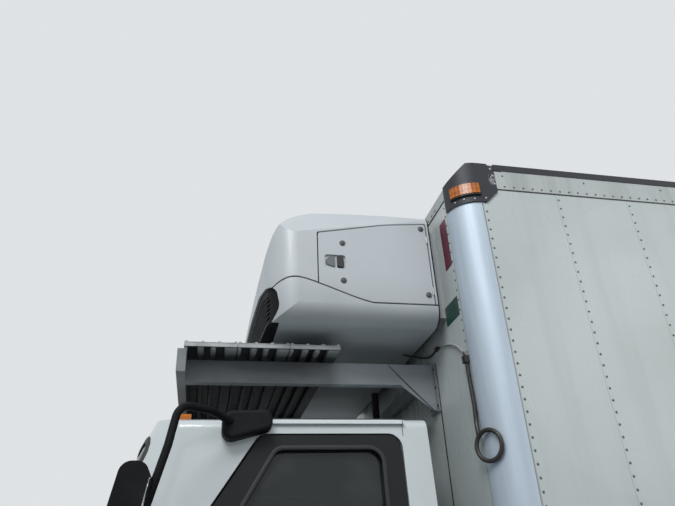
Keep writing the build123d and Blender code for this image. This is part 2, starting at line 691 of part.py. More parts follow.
# Door hinges: a leaf and half a barrel on the front corner carry the pin that the door turns on
DOOR_HINGE_Z = (1080, 1290)
DOOR_PIN_X = DOOR_FRONT_X + 10
DOOR_PIN_Y = CAB_HALF + 14
DOOR_PIN_RADIUS = 6
BARREL_RADIUS = 11
BARREL_LENGTH = 38
DOOR_LEAF = 58
LEAF_Y = (CAB_HALF - 1, CAB_HALF + 7)
SEAT_GAP = 0.3
for z in DOOR_HINGE_Z:
    leaf = block((DOOR_PIN_X, DOOR_PIN_X + DOOR_LEAF), LEAF_Y, (z - BARREL_LENGTH, z))
    leaf += rod_z(BARREL_RADIUS, DOOR_PIN_X, DOOR_PIN_Y, z - BARREL_LENGTH, z)
    leaf += rod_z(DOOR_PIN_RADIUS, DOOR_PIN_X, DOOR_PIN_Y, z - BARREL_LENGTH, z + BARREL_LENGTH - 2)
    cab_shell = cab_shell + leaf + right_of(leaf)
save("cab_shell", cab_shell)

door_skin = (cab_sides(0) - cab_sides(CAB_WALL)) & slab_y(door_outline(0), *SIDE_REACH)
door = door_skin - slab_y(window_outline(0), *SIDE_REACH)
DOOR_REBATE = 5
OUTER_SKIN = 20
rebate = block((DOOR_REAR_X - 1, DOOR_REAR_X + DOOR_REBATE), SIDE_REACH, (DOOR_SILL_Z, DOOR_TOP_Z + 1))
door -= rebate & cab_sides(OUTER_SKIN)
HANDLE_X = DOOR_REAR_X + 90
door += block((HANDLE_X - 60, HANDLE_X + 60), (995, 1018), (1270, 1300))
for z in DOOR_HINGE_Z:
    door += block((DOOR_PIN_X - DOOR_LEAF, DOOR_FRONT_X), LEAF_Y, (z + SEAT_GAP, z + BARREL_LENGTH))
    door += block(
        (DOOR_FRONT_X - 1, DOOR_PIN_X), (CAB_HALF + 2, LEAF_Y[1]), (z + SEAT_GAP, z + BARREL_LENGTH)
    )
    door += rod_z(BARREL_RADIUS, DOOR_PIN_X, DOOR_PIN_Y, z + SEAT_GAP, z + BARREL_LENGTH)
    door -= rod_z(DOOR_PIN_RADIUS + KINGPIN_FIT, DOOR_PIN_X, DOOR_PIN_Y, z - 1, z + BARREL_LENGTH + 1)
save("cab_door_left", door)
save("cab_door_right", right_of(door))

glass_shell = cab_form(22) - cab_form(27)
door_glass = glass_shell & slab_y(window_outline(0), *SIDE_REACH)
save("door_glass_left", door_glass)
save("door_glass_right", right_of(door_glass))

screen_shell = cab_form(6) - cab_form(13)
screen = screen_shell & slab_x(screen_outline(0), *SCREEN_X)
rear_glass = screen_shell & slab_x(rear_window_outline(0), *REAR_WINDOW_X)
save("cab_glass", screen, rear_glass)

# Cab front: slatted grille, lamps and bumper, all following the same plan curve

GRILLE_Z = (1010, 1260)
GRILLE_HALF = 620
SLATS = 5
SLAT_DEPTH = 18
SLAT_HALF = 9
GRILLE_RIM = 22
FACE_X = (3500, PAST_FRONT_X)
grille_ring = cab_form(-SLAT_DEPTH) - cab_form(-SEAT_GAP)
frame_face = rounded([
    (-GRILLE_HALF, GRILLE_Z[0], 30), (GRILLE_HALF, GRILLE_Z[0], 30),
    (GRILLE_HALF + 40, GRILLE_Z[1], 30), (-GRILLE_HALF - 40, GRILLE_Z[1], 30),
])
hole_face = rounded([
    (-GRILLE_HALF + 25, GRILLE_Z[0] + GRILLE_RIM, 15), (GRILLE_HALF - 25, GRILLE_Z[0] + GRILLE_RIM, 15),
    (GRILLE_HALF + 15, GRILLE_Z[1] - GRILLE_RIM, 15), (-GRILLE_HALF - 15, GRILLE_Z[1] - GRILLE_RIM, 15),
])
grille_mask = slab_x(frame_face, *FACE_X) - slab_x(hole_face, FACE_X[0] - 100, FACE_X[1] + 100)
slat_pitch = (GRILLE_Z[1] - GRILLE_Z[0] - 2 * GRILLE_RIM) / (SLATS + 1)
for i in range(SLATS):
    z = GRILLE_Z[0] + GRILLE_RIM + slat_pitch * (i + 1)
    slat_y = (-GRILLE_HALF - 10, GRILLE_HALF + 10)
    grille_mask += block(FACE_X, slat_y, (z - SLAT_HALF, z + SLAT_HALF))
save("cab_grille", grille_ring & grille_mask)

LAMP_Z = (800, 960)
LAMP_Y = (560, 860)
lamp_face = rounded([
    (LAMP_Y[0], LAMP_Z[0], 30), (LAMP_Y[1], LAMP_Z[0], 50),
    (LAMP_Y[1] + 30, LAMP_Z[1], 50), (LAMP_Y[0], LAMP_Z[1], 30),
])
headlamp = (cab_form(-22) - cab_form(-SEAT_GAP)) & slab_x(lamp_face, *FACE_X)
save("headlamps", headlamp, right_of(headlamp))

BUMPER_Z = (470, 690)
BUMPER_SHIFT = FRONT_X - CAB_FRONT_X - 20
bumper_outer = Pos(BUMPER_SHIFT, 0, 0) * slab_z(cab_plan(-20), *BUMPER_Z)
bumper_inner = Pos(BUMPER_SHIFT, 0, 0) * slab_z(cab_plan(40), BUMPER_Z[0] - 1, BUMPER_Z[1] + 1)
BUMPER_REAR_X = 3500
BRACKET_REAR_X = 3600
BRACKET_FRONT_X = 3985
bumper = (bumper_outer - bumper_inner) & block((BUMPER_REAR_X, FRONT_X + 20), (-1100, 1100), (400, 800))
bumper -= slab_x(
    rounded([(-330, 530, 30), (330, 530, 30), (330, 630, 30), (-330, 630, 30)]), RAIL_FRONT_X, FRONT_X + 20
)
for y_side in (-1, 1):
    near = y_side * (RAIL_OUTER_Y - 80)
    far = y_side * (RAIL_OUTER_Y - RAIL_WEB)
    bracket_y = (min(near, far), max(near, far))
    bracket = block((RAIL_FRONT_X, BRACKET_FRONT_X), bracket_y, (BUMPER_Z[0] + 20, RAIL_TOP - 30))
    bracket += block((BRACKET_REAR_X, BRACKET_FRONT_X), bracket_y, (RAIL_BOTTOM - 60, RAIL_BOTTOM))
    bumper += bracket
CROSS_TUBE_RADIUS = 30
CROSS_TUBE_X = RAIL_FRONT_X + 33
CROSS_TUBE_Z = 540
TUBE_HALF = RAIL_OUTER_Y - 80
bumper += rod_y(CROSS_TUBE_RADIUS, CROSS_TUBE_X, CROSS_TUBE_Z, -TUBE_HALF, TUBE_HALF)
save("front_bumper", bumper)

# Towing eye: a plate clamped round the bumper's cross tube, its hole just below the bumper

TOW_Z = BUMPER_Z[0] - 45
TOW_BORE = 20
TOW_HALF = 16
TOW_WEB = 30
eye = rod_y(TOW_BORE + 18, CROSS_TUBE_X, TOW_Z, -TOW_HALF, TOW_HALF)
eye += block((CROSS_TUBE_X - TOW_WEB, CROSS_TUBE_X + TOW_WEB), (-TOW_HALF, TOW_HALF), (TOW_Z, CROSS_TUBE_Z))
eye += rod_y(CROSS_TUBE_RADIUS + 14, CROSS_TUBE_X, CROSS_TUBE_Z, -TOW_HALF, TOW_HALF)
eye -= rod_y(CROSS_TUBE_RADIUS + SEAT_GAP, CROSS_TUBE_X, CROSS_TUBE_Z, -TOW_HALF - 1, TOW_HALF + 1)
eye -= rod_y(TOW_BORE, CROSS_TUBE_X, TOW_Z, -TOW_HALF - 1, TOW_HALF + 1)
save("towing_eye", eye)

# Steps and arch liners beside the front wheels, mud flaps and dock rubbers at the rear

ARCH_RADIUS = 478
ARCH_SKIN = 8
ARCH_Y = (RAIL_OUTER_Y + 40, 990)


def arch():
    ring = rod_y(ARCH_RADIUS + ARCH_SKIN, FRONT_AXLE_X, AXLE_Z, *ARCH_Y)
    ring -= rod_y(ARCH_RADIUS, FRONT_AXLE_X, AXLE_Z, ARCH_Y[0] - 1, ARCH_Y[1] + 1)
    keep = block((2000, 3395), ARCH_Y, (620, 1000))
    return ring & keep


front_arch = arch()
front_arch += block((2600, 3200), (700, 760), (AXLE_Z + ARCH_RADIUS + 4, CAB_UNDERSIDE_Z)) - rod_y(
    ARCH_RADIUS + 2, FRONT_AXLE_X, AXLE_Z, 600, 900
)
flap_x = REAR_AXLE_X - TYRE_RADIUS - 120
flap = block((flap_x - 6, flap_x), (DUAL_INNER_Y - 115, DUAL_OUTER_Y + 115), (220, 800))
flap += block((flap_x - 30, flap_x + 20), (RAIL_OUTER_Y, DUAL_OUTER_Y + 115), (800, 830))
rubber = block((BOX_REAR_X - DOCK_RUBBER, BOX_REAR_X), (640, 780), (BOX_BOTTOM, BOX_BOTTOM + 115))
guards = [front_arch, flap, rubber]
save("mudguards", *guards, *[right_of(piece) for piece in guards])

# Inside of the cab: fascia with steering wheel, and a driver seat beside a bench

WHEEL_Y = 480
fascia_face = rounded([
    (3330, 1130, 60), (3400, 1100, 20), (3900, 1100, 0), (3900, 1370, 0), (3460, 1370, 60), (3330, 1290, 50),
])
fascia = slab_y(fascia_face, -900, 900) & cab_form(CAB_WALL + 0.5)
column_start = Vector(3450, WHEEL_Y, 1250)
column_end = Vector(3190, WHEEL_Y, 1440)
fascia += tube_between(column_start, column_end, 32)
hand_plane = Plane(origin=column_end, z_dir=column_end - column_start)
HAND_RADIUS = 215
hand_wheel = hand_plane * Torus(HAND_RADIUS, 14)
for angle in (0, 120, 240):
    spoke = hand_plane * Rot(0, 0, angle + 90) * Pos(HAND_RADIUS / 2, 0, 0) * Box(HAND_RADIUS, 26, 12)
    hand_wheel += spoke
hand_wheel += hand_plane * Cylinder(45, 30)
save("dashboard", fascia + hand_wheel)

SEAT_FLOOR = CAB_UNDERSIDE_Z + CAB_WALL
cushion_face = rounded([
    (2520, SEAT_FLOOR, 0), (3010, SEAT_FLOOR, 0), (3040, SEAT_FLOOR + 170, 50), (2560, SEAT_FLOOR + 140, 0),
    (2450, SEAT_FLOOR + 720, 35), (2370, SEAT_FLOOR + 700, 30), (2440, SEAT_FLOOR + 60, 0),
])
SEATS = ((490, 240), (-330, 480))
seats = [slab_y(cushion_face, y - half, y + half) for y, half in SEATS]
save("seats", *seats)

# Mirrors on bars from the windscreen pillars

MIRROR_BAR = 14.5
FOOT_OUTER_Y = 1022
bar_points = [
    (3110, 985, 2143), (3215, 1130, 2158), (3325, 1215, 2158), (3352, 1230, 2010), (3490, 1230, 1500),
    (3560, 1090, 1300), (3600, 960, 1300),
]


def mirror_side():
    bar = pipe(bar_points, [60, 60, 50, 60, 60], MIRROR_BAR)
    bar -= cab_outer
    foot_face = rounded([(2965, 2118, 30), (3165, 2066, 40), (3165, 2190, 45), (2965, 2196, 35)])
    foot = slab_y(foot_face, 900, FOOT_OUTER_Y)
    foot = fillet(foot.edges().filter_by_position(Axis.Y, FOOT_OUTER_Y - 1, FOOT_OUTER_Y + 1), 16)
    foot -= cab_outer
    head_face = rounded([
        (3462, 1500, 40), (3565, 1500, 40), (3480, 1930, 40), (3385, 1930, 40),
    ])
    head = slab_y(head_face, 1215, 1395)
    return bar + foot + head


mirror_left = mirror_side()
save("mirrors", mirror_left, right_of(mirror_left))

# Insulated box: floor, walls, roof, round corner posts and edge rails

box_floor = block(
    (BOX_REAR_X + REAR_FRAME, POST_X), (-HALF_BOX + WALL, HALF_BOX - WALL), (BOX_BOTTOM, FLOOR_TOP)
)
SILL_WIDTH = 70
sill = block((RAIL_REAR_X, POST_X), (RAIL_OUTER_Y - SILL_WIDTH, RAIL_OUTER_Y), (RAIL_TOP, BOX_BOTTOM))
save("box_floor", box_floor, sill, right_of(sill))

side_wall = block((BOX_REAR_X + REAR_FRAME, POST_X), (HALF_BOX - WALL, HALF_BOX), (BOX_BOTTOM, WALL_TOP))
save("box_side_walls", side_wall, right_of(side_wall))

EVAPORATOR_HALF = 600
EVAPORATOR_Z = (WALL_TOP - 565, WALL_TOP - 125)
front_wall = block((POST_X, BOX_FRONT_X), (-POST_Y, POST_Y), (BOX_BOTTOM, WALL_TOP))
front_wall -= block((POST_X - 1, BOX_FRONT_X + 1), (-EVAPORATOR_HALF, EVAPORATOR_HALF), EVAPORATOR_Z)
save("box_front_wall", front_wall)


def box_plan(grow):
    half = HALF_BOX + grow
    return rounded([
        (BOX_REAR_X + REAR_FRAME, -half, 0), (BOX_FRONT_X + grow, -half, POST_RADIUS + grow),
        (BOX_FRONT_X + grow, half, POST_RADIUS + grow), (BOX_REAR_X + REAR_FRAME, half, 0),
    ])


BEVEL_DROP = 82
BEVEL_RUN = 88


def front_bevel(grow):
    """All that lies above the slope along the roof's front edge, with the slope moved out by grow."""
    slope = Vector(-BEVEL_RUN, BEVEL_DROP).normalized()
    out = Vector(slope.Y, -slope.X)
    low = Vector(BOX_FRONT_X, BOX_TOP - BEVEL_DROP) + out * grow - slope * 300
    high = low + slope * 700
    face = make_face(Polyline(low, high, high + out * 500, low + out * 500, close=True))
    return slab_y(face, -HALF_BOX - 60, HALF_BOX + 60)


save("box_roof", slab_z(box_plan(0), WALL_TOP, BOX_TOP) - front_bevel(0))

CASTING_Z = BOX_TOP - 230
corner = block((POST_X, BOX_FRONT_X), (POST_Y, HALF_BOX), (BOX_BOTTOM, WALL_TOP))
corner &= slab_z(box_plan(0), BOX_BOTTOM, WALL_TOP)
RAIL_Z = BOX_TOP - 145
TRIM_Z = BOX_TOP - 35
LOW_RAIL_TOP = FLOOR_TOP - 10
CASTING_REAR_X = POST_X - 94
rail_y = (HALF_BOX, HALF_BOX + RAIL_PROUD)
side_rail = block((BOX_REAR_X + REAR_FRAME, CASTING_REAR_X - 2), rail_y, (RAIL_Z, TRIM_Z))
low_rail = block((BOX_REAR_X + REAR_FRAME, POST_X), rail_y, (BOX_BOTTOM, LOW_RAIL_TOP))
front_rail = block(
    (BOX_FRONT_X, BOX_FRONT_X + RAIL_PROUD), (-POST_Y, POST_Y), (RAIL_Z, BOX_TOP - BEVEL_DROP - RAIL_PROUD)
)
edge_pieces = [corner, side_rail, low_rail]
save("box_rails", *edge_pieces, *[right_of(piece) for piece in edge_pieces], front_rail)

# Dark cast corner caps with the edge trim that runs back along the roof

CASTING_PROUD = 7
TRIM_TOP = BOX_TOP + 3
LOBE_CUT = 66
cap = slab_z(box_plan(CASTING_PROUD), CASTING_Z, TRIM_TOP) - front_bevel(CASTING_PROUD)
cap -= slab_z(box_plan(0), CASTING_Z - 1, BOX_TOP) - front_bevel(0)
cap &= slab_y(
    rounded([
        (CASTING_REAR_X + LOBE_CUT, CASTING_Z, 0), (POST_X + 400, CASTING_Z, 0), (POST_X + 400, TRIM_TOP, 0),
        (CASTING_REAR_X + 35, TRIM_TOP, 0), (CASTING_REAR_X, TRIM_TOP - 45, 0),
        (CASTING_REAR_X, CASTING_Z + LOBE_CUT, 0),
    ]),
    POST_Y + 14, HALF_BOX + 50,
)
TRIM_X = (BOX_REAR_X + REAR_FRAME, CASTING_REAR_X - 2)
TRIM_WIDTH = 40
trim = block(TRIM_X, (HALF_BOX, HALF_BOX + RAIL_PROUD + 2), (TRIM_Z + 1, TRIM_TOP))
trim += block(TRIM_X, (HALF_BOX - TRIM_WIDTH, HALF_BOX + 1), (BOX_TOP, TRIM_TOP))
save("corner_castings", cap, right_of(cap), trim, right_of(trim))

# Amber lamps: one on each corner casting, five on the cab roof and one low on each side

LAMP_TURN = (29, 87)
CORNER_LAMP_Z = (CASTING_Z + 43, CASTING_Z + 100)
LAMP_PROUD = 14
LAMP_REACH = 400


def around_post(turn, heights, proud):
    """Strip that lies on the casting round the post, between two angles from +X."""
    strip = slab_z(box_plan(CASTING_PROUD + proud), *heights) - slab_z(box_plan(CASTING_PROUD), *heights)
    low, high = [math.radians(angle) for angle in turn]
    fan = make_face(Polyline(
        (POST_X, POST_Y),
        (POST_X + LAMP_REACH * math.cos(low), POST_Y + LAMP_REACH * math.sin(low)),
        (POST_X + LAMP_REACH * math.cos(high), POST_Y + LAMP_REACH * math.sin(high)), close=True,
    ))
    return strip & slab_z(fan, *heights)


corner_lamp = around_post(LAMP_TURN, CORNER_LAMP_Z, LAMP_PROUD)
ROOF_LAMPS = (-750, -250, 0, 250, 750)
roof_lamps = []
for y in ROOF_LAMPS:
    x = 3330 if abs(y) > 700 else 3400
    body = block((x - 40, x + 40), (y - 22, y + 22), (2100, 2400))
    roof_lamps.append((cab_form(-26) - cab_form(-SEAT_GAP)) & body)
side_lamp = block((-900, -790), (HALF_BOX + RAIL_PROUD, HALF_BOX + RAIL_PROUD + 18), (985, 1035))
save("amber_lamps", corner_lamp, right_of(corner_lamp), *roof_lamps, side_lamp, right_of(side_lamp))

# Rear frame of the box with its two swing doors

OPEN_HALF = HALF_BOX - 100
HEADER_Z = RAIL_Z - 5
rear_frame = block((BOX_REAR_X, BOX_REAR_X + REAR_FRAME), (-HALF_BOX, HALF_BOX), (BOX_BOTTOM, BOX_TOP))
doorway = block(
    (BOX_REAR_X - 1, BOX_REAR_X + REAR_FRAME + 1), (-OPEN_HALF, OPEN_HALF), (FLOOR_TOP, HEADER_Z)
)
rear_frame -= doorway
PIN_X = BOX_REAR_X - 30
PIN_Y = HALF_BOX + 18
PIN_RADIUS = 9
HINGES = 4
HINGE_END = (FLOOR_TOP + 175, HEADER_Z - 245)
HINGE_Z = [HINGE_END[0] + i * (HINGE_END[1] - HINGE_END[0]) / (HINGES - 1) for i in range(HINGES)]
HINGE_HEIGHT = 90
for z in HINGE_Z:
    for y_side in (-1, 1):
        ys = sorted((y_side * (HALF_BOX - 60), y_side * PIN_Y))
        butt = block((PIN_X - 8, BOX_REAR_X), ys, (z - HINGE_HEIGHT / 2, z - 16))
        butt += rod_z(PIN_RADIUS + 8, PIN_X, y_side * PIN_Y, z - HINGE_HEIGHT / 2, z - 16)
        butt += rod_z(PIN_RADIUS, PIN_X, y_side * PIN_Y, z - 30, z + 30)
        rear_frame += butt
save("rear_frame", rear_frame)

BOX_DOOR = 75
EDGE_GAP = 6
MEETING_GAP = 8
box_door = block(
    (BOX_REAR_X, BOX_REAR_X + BOX_DOOR),
    (MEETING_GAP, OPEN_HALF - EDGE_GAP),
    (FLOOR_TOP + EDGE_GAP, HEADER_Z - EDGE_GAP),
)
for z in HINGE_Z:
    strap = block((PIN_X - 8, PIN_X + 8), (OPEN_HALF - 260, PIN_Y), (z - 14, z + HINGE_HEIGHT / 2))
    strap += block((PIN_X, BOX_REAR_X), (OPEN_HALF - 260, OPEN_HALF - 20), (z - 14, z + HINGE_HEIGHT / 2))
    strap += rod_z(PIN_RADIUS + 8, PIN_X, PIN_Y, z - 14, z + HINGE_HEIGHT / 2)
    strap -= rod_z(PIN_RADIUS + KINGPIN_FIT, PIN_X, PIN_Y, z - 50, z + 31)
    box_door += strap
BAR_RADIUS = 13.5
BAR_X = BOX_REAR_X - 20
LOCK_Y = (180, 820)
for y in LOCK_Y:
    box_door += rod_z(BAR_RADIUS, BAR_X, y, FLOOR_TOP - 40, HEADER_Z + 40)
    for z in (FLOOR_TOP + 90, FLOOR_TOP + 625, HEADER_Z - 935, HEADER_Z - 90):
        box_door += block((BAR_X, BOX_REAR_X), (y - 35, y + 35), (z - 30, z + 30))
    box_door += block((BAR_X - 16, BAR_X - 4), (y - 14, y + 300), (FLOOR_TOP + 405, FLOOR_TOP + 435))
save("box_door_left", box_door)
save("box_door_right", right_of(box_door))

LENS_X = (BOX_REAR_X - 14, BOX_REAR_X)
tail_lamps = []
for y in (900, 1030, 1150):
    tail_lamps.append(rod_x(48, y, BOX_BOTTOM + 62, *LENS_X))
save("tail_lamps", *tail_lamps, *[right_of(lamp) for lamp in tail_lamps])

# Underride bar bolted under two hangers on the rear ends of the rails and two struts from the box

GUARD_Z = (440, 540)
GUARD_DEPTH = 100
GUARD_HALF = 1120
HANGER_WIDTH = 80
STRUT_Y = (800, 860)
bar = block((BOX_REAR_X, BOX_REAR_X + GUARD_DEPTH), (-GUARD_HALF, GUARD_HALF), GUARD_Z)
hanger = block(
    (BOX_REAR_X + 10, BOX_REAR_X + GUARD_DEPTH - 10),
    (RAIL_OUTER_Y, RAIL_OUTER_Y + HANGER_WIDTH), (GUARD_Z[1], RAIL_TOP - 20),
)
strut = block((BOX_REAR_X + 20, BOX_REAR_X + GUARD_DEPTH - 20), STRUT_Y, (GUARD_Z[1], BOX_BOTTOM))
save("underride_guard", bar, hanger, right_of(hanger), strut, right_of(strut))

# Refrigeration unit: moulded shell in two halves, two side doors, front grille, and the core

NOSE_CORNER = 150
NOSE_CROWN = 12000
ROOF_FALL = 12


CREASE = (
    # x, z of the crease over the side door: above it the side leans inwards
    (UNIT_REAR_X, 3196), (2743, 3101),
)
CREASE_LEAN = 25


def unit_outline(inset):
    """The unit seen from the front."""
    half = UNIT_HALF - inset
    return rounded([
        (-half, UNIT_BOTTOM + inset, 90 - inset), (half, UNIT_BOTTOM + inset, 90 - inset),
        (half, UNIT_TOP - inset, 60 - inset), (-half, UNIT_TOP - inset, 60 - inset),
    ])


def above_crease(inset):
    """All that lies outside the leaning upper part of the left side."""
    along = Vector(CREASE[1][0] - CREASE[0][0], 0, CREASE[1][1] - CREASE[0][1]).normalized()
    lean = math.radians(CREASE_LEAN)
    outward = Vector(0, -math.sin(lean), math.cos(lean)).cross(along)
    plane = Plane(origin=(CREASE[0][0], UNIT_HALF, CREASE[0][1]), x_dir=along, z_dir=outward)
    return plane * Pos(0, 0, 200 - inset) * Box(3000, 1500, 400)


def unit_form(inset):
    rear = UNIT_REAR_X - 60
    plan = crowned_plan(inset, UNIT_HALF + CLEAR_OF_PLANE, UNIT_FRONT_X, rear, NOSE_CORNER, NOSE_CROWN)
    side_view = rounded([
        (rear, UNIT_BOTTOM + inset, 0), (UNIT_FRONT_X + 15 - inset, UNIT_BOTTOM - 40 + inset, 60),
        (UNIT_FRONT_X + 5 - inset, 2900, 300), (2915 - inset, UNIT_TOP - ROOF_FALL - inset, 250 - inset),
        (rear, UNIT_TOP + 30 - inset, 0),
    ])
    solid = slab_z(plan, UNIT_BOTTOM - 100, UNIT_TOP + 50) & slab_x(unit_outline(inset), UNIT_REAR_X, 3200)
    solid &= slab_y(side_view, -1000, 1000)
    return solid - above_crease(inset) - right_of(above_crease(inset))


SEAM = (
    # x, z of the moulded seam from the bulkhead to the nose
    (UNIT_REAR_X - 80, 2718), (2485, 2717), (2613, 2757), (2749, 2809), (2884, 2834), (2985, 2780),
    (3100, 2700),
)


def above_seam(offset):
    rows = [(x, z + offset) for x, z in SEAM]
    wave = Spline(*rows[1:])
    top = UNIT_TOP + 100
    return make_face([
        Line(rows[0], rows[1]), wave, Line(rows[-1], (rows[-1][0], top)),
        Line((rows[-1][0], top), (rows[0][0], top)), Line((rows[0][0], top), rows[0]),
    ])


unit_outer = unit_form(0)
unit_skin = unit_outer - unit_form(UNIT_SKIN)
GRILLE_OPEN = rounded([
    (-870, 2590, 0), (870, 2590, 0), (928, 2680, 100), (912, 2800, 60),
    (640, 2862, 150), (-640, 2862, 150), (-912, 2800, 60), (-928, 2680, 100),
])
GRILLE_REAR_X = UNIT_FRONT_X - 90
grille_hole = slab_x(GRILLE_OPEN, GRILLE_REAR_X, 3200)
upper_mask = slab_y(above_seam(UNIT_SEAM / 2), -1100, 1100)
lower_mask = slab_y(above_seam(-UNIT_SEAM / 2), -1100, 1100)
UNIT_PIN_X = 2180
UNIT_DOOR_FRONT = 2747
UNIT_DOOR_GAP = 6


def unit_door_outline(grow):
    return rounded([
        (UNIT_PIN_X - grow, UNIT_BOTTOM - 100, 0), (UNIT_DOOR_FRONT + grow, UNIT_BOTTOM - 100, 0),
        (UNIT_DOOR_FRONT - 5 + grow, 3082 + grow, 10), (2400, 3150 + grow, 300),
        (UNIT_PIN_X - grow, 3172 + grow, 10),
    ])


DOOR_ZONE = (880, 1000)
KNUCKLE_RADIUS = 5
KNUCKLE = 20
UNIT_HINGE_Z = (2790, 3080)
door_panel = (unit_outer - unit_form(UNIT_DOOR)) & upper_mask & slab_y(unit_door_outline(0), *DOOR_ZONE)
door_cut = slab_y(unit_door_outline(UNIT_DOOR_GAP), *DOOR_ZONE)
upper = (unit_skin & upper_mask) - door_cut - right_of(door_cut) - grille_hole
upper = max(upper.solids(), key=lambda piece: piece.volume)
for z in UNIT_HINGE_Z:
    leaf = block((UNIT_REAR_X + 2, UNIT_PIN_X), (UNIT_HALF - 4, UNIT_HALF - 1), (z - KNUCKLE, z))
    butt = leaf + rod_z(KNUCKLE_RADIUS, UNIT_PIN_X, UNIT_HALF, z - KNUCKLE, z)
    upper = upper + butt + right_of(butt)
    door_panel -= rod_z(KNUCKLE_RADIUS + 1, UNIT_PIN_X, UNIT_HALF, z - KNUCKLE - 1, z + SEAT_GAP)
    door_panel += rod_z(KNUCKLE_RADIUS, UNIT_PIN_X, UNIT_HALF, z + SEAT_GAP, z + KNUCKLE)
save("unit_upper_shell", upper)
lower = (unit_skin - lower_mask) - grille_hole
save("unit_lower_shell", max(lower.solids(), key=lambda piece: piece.volume))

LATCH_X = (2611, 2713)
LATCH_Z = (2889, 2963)
LATCH_SINK = 9
LATCH_CORNER = 12
latch_face = rounded([
    (LATCH_X[0], LATCH_Z[0], LATCH_CORNER), (LATCH_X[1], LATCH_Z[0], LATCH_CORNER),
    (LATCH_X[1], LATCH_Z[1], LATCH_CORNER), (LATCH_X[0], LATCH_Z[1], LATCH_CORNER),
])
door_panel -= slab_y(latch_face, UNIT_HALF - LATCH_SINK, UNIT_HALF + 5)
save("unit_door_left", door_panel)
save("unit_door_right", right_of(door_panel))

GRILLE_SLOTS = 8
GRILLE_SLOT_Z = 2655
GRILLE_SLOT_PITCH = 22
GRILLE_SLOT_HALF = 860
GRILLE_SLOT = 12
unit_grille = unit_form(UNIT_SKIN + 1) - unit_form(UNIT_SKIN + 21)
unit_grille &= slab_x(GRILLE_OPEN, GRILLE_REAR_X, 3200)
slots = None
for i in range(GRILLE_SLOTS):
    z = GRILLE_SLOT_Z + i * GRILLE_SLOT_PITCH
    reach = min(GRILLE_SLOT_HALF, GRILLE_SLOT_HALF - (z - 2760) * 3)
    bar = block((2800, 3200), (-reach, reach), (z, z + GRILLE_SLOT))
    slots = bar if slots is None else slots + bar
unit_grille -= slots
save("unit_grille", unit_grille)

CORE_HALF = 800
GASKET = 8
PLATE_INSET = 55
core = block(
    (BOX_FRONT_X, UNIT_REAR_X - GASKET), (-UNIT_HALF + PLATE_INSET, UNIT_HALF - PLATE_INSET),
    (UNIT_BOTTOM + PLATE_INSET, UNIT_TOP - PLATE_INSET - 20),
)
gasket = slab_x(unit_outline(2), UNIT_REAR_X - GASKET, UNIT_REAR_X)
core += gasket - above_crease(2) - right_of(above_crease(2))
core += block((UNIT_REAR_X, 2800), (-CORE_HALF, CORE_HALF), (UNIT_BOTTOM + 60, 3100))
EVAPORATOR_X = 1700
evaporator_face = rounded([
    (BOX_FRONT_X + 1, EVAPORATOR_Z[0], 0), (EVAPORATOR_X + 60, EVAPORATOR_Z[0], 40),
    (EVAPORATOR_X, EVAPORATOR_Z[1] - 150, 40),
    (EVAPORATOR_X, EVAPORATOR_Z[1], 20), (BOX_FRONT_X + 1, EVAPORATOR_Z[1], 0),
])
core += slab_y(evaporator_face, -EVAPORATOR_HALF, EVAPORATOR_HALF)
save("unit_core", core)

# Catwalk: slotted planks on two arms that stand out from the front wall over the cab

PLANK_SKIN = 4
END_PLATE = 5
RIDGES = 4
RIDGE_RADIUS = 7
RIDGE_INSET = 9
RIDGE_PITCH = (PLANK_WIDTH - 2 * RIDGE_INSET) / (RIDGES - 1)
WEB_DEPTH = 34
SLOTS = 12
SLOT_WIDTH = 46
SLOT_LENGTH = 112
SLOT_PITCH = (2 * DECK_HALF - 2 * END_PLATE) / SLOTS
deck_top = DECK_Z + PLANK_DEPTH
between_plates = (-DECK_HALF + END_PLATE, DECK_HALF - END_PLATE)
planks = []
for i in range(PLANKS):
    x = DECK_REAR_X + i * PLANK_PITCH
    plank = block((x, x + PLANK_WIDTH), (-DECK_HALF, DECK_HALF), (DECK_Z, deck_top))
    for bay in range(RIDGES - 1):
        low = RIDGE_INSET + bay * RIDGE_PITCH + PLANK_SKIN / 2
        high = low + RIDGE_PITCH - PLANK_SKIN
        if bay == 0:
            low = PLANK_SKIN
        if bay == RIDGES - 2:
            high = PLANK_WIDTH - PLANK_SKIN
        plank -= block((x + low, x + high), between_plates, (DECK_Z - 1, deck_top - PLANK_SKIN))
        middle = x + RIDGE_INSET + (bay + 0.5) * RIDGE_PITCH
        for slot in range(SLOTS):
            slot_y = -DECK_HALF + END_PLATE + (slot + 0.5) * SLOT_PITCH
            plank -= block(
                (middle - SLOT_WIDTH / 2, middle + SLOT_WIDTH / 2),
                (slot_y - SLOT_LENGTH / 2, slot_y + SLOT_LENGTH / 2), (deck_top - 20, deck_top + 20),
            )
    web_gap = (x + PLANK_SKIN, x + PLANK_WIDTH - PLANK_SKIN)
    plank -= block(web_gap, between_plates, (DECK_Z - 1, deck_top - WEB_DEPTH))
    for ridge in range(RIDGES):
        plank += rod_y(RIDGE_RADIUS, x + RIDGE_INSET + ridge * RIDGE_PITCH, deck_top, -DECK_HALF, DECK_HALF)
    planks.append(plank)
save("platform_deck", *planks)

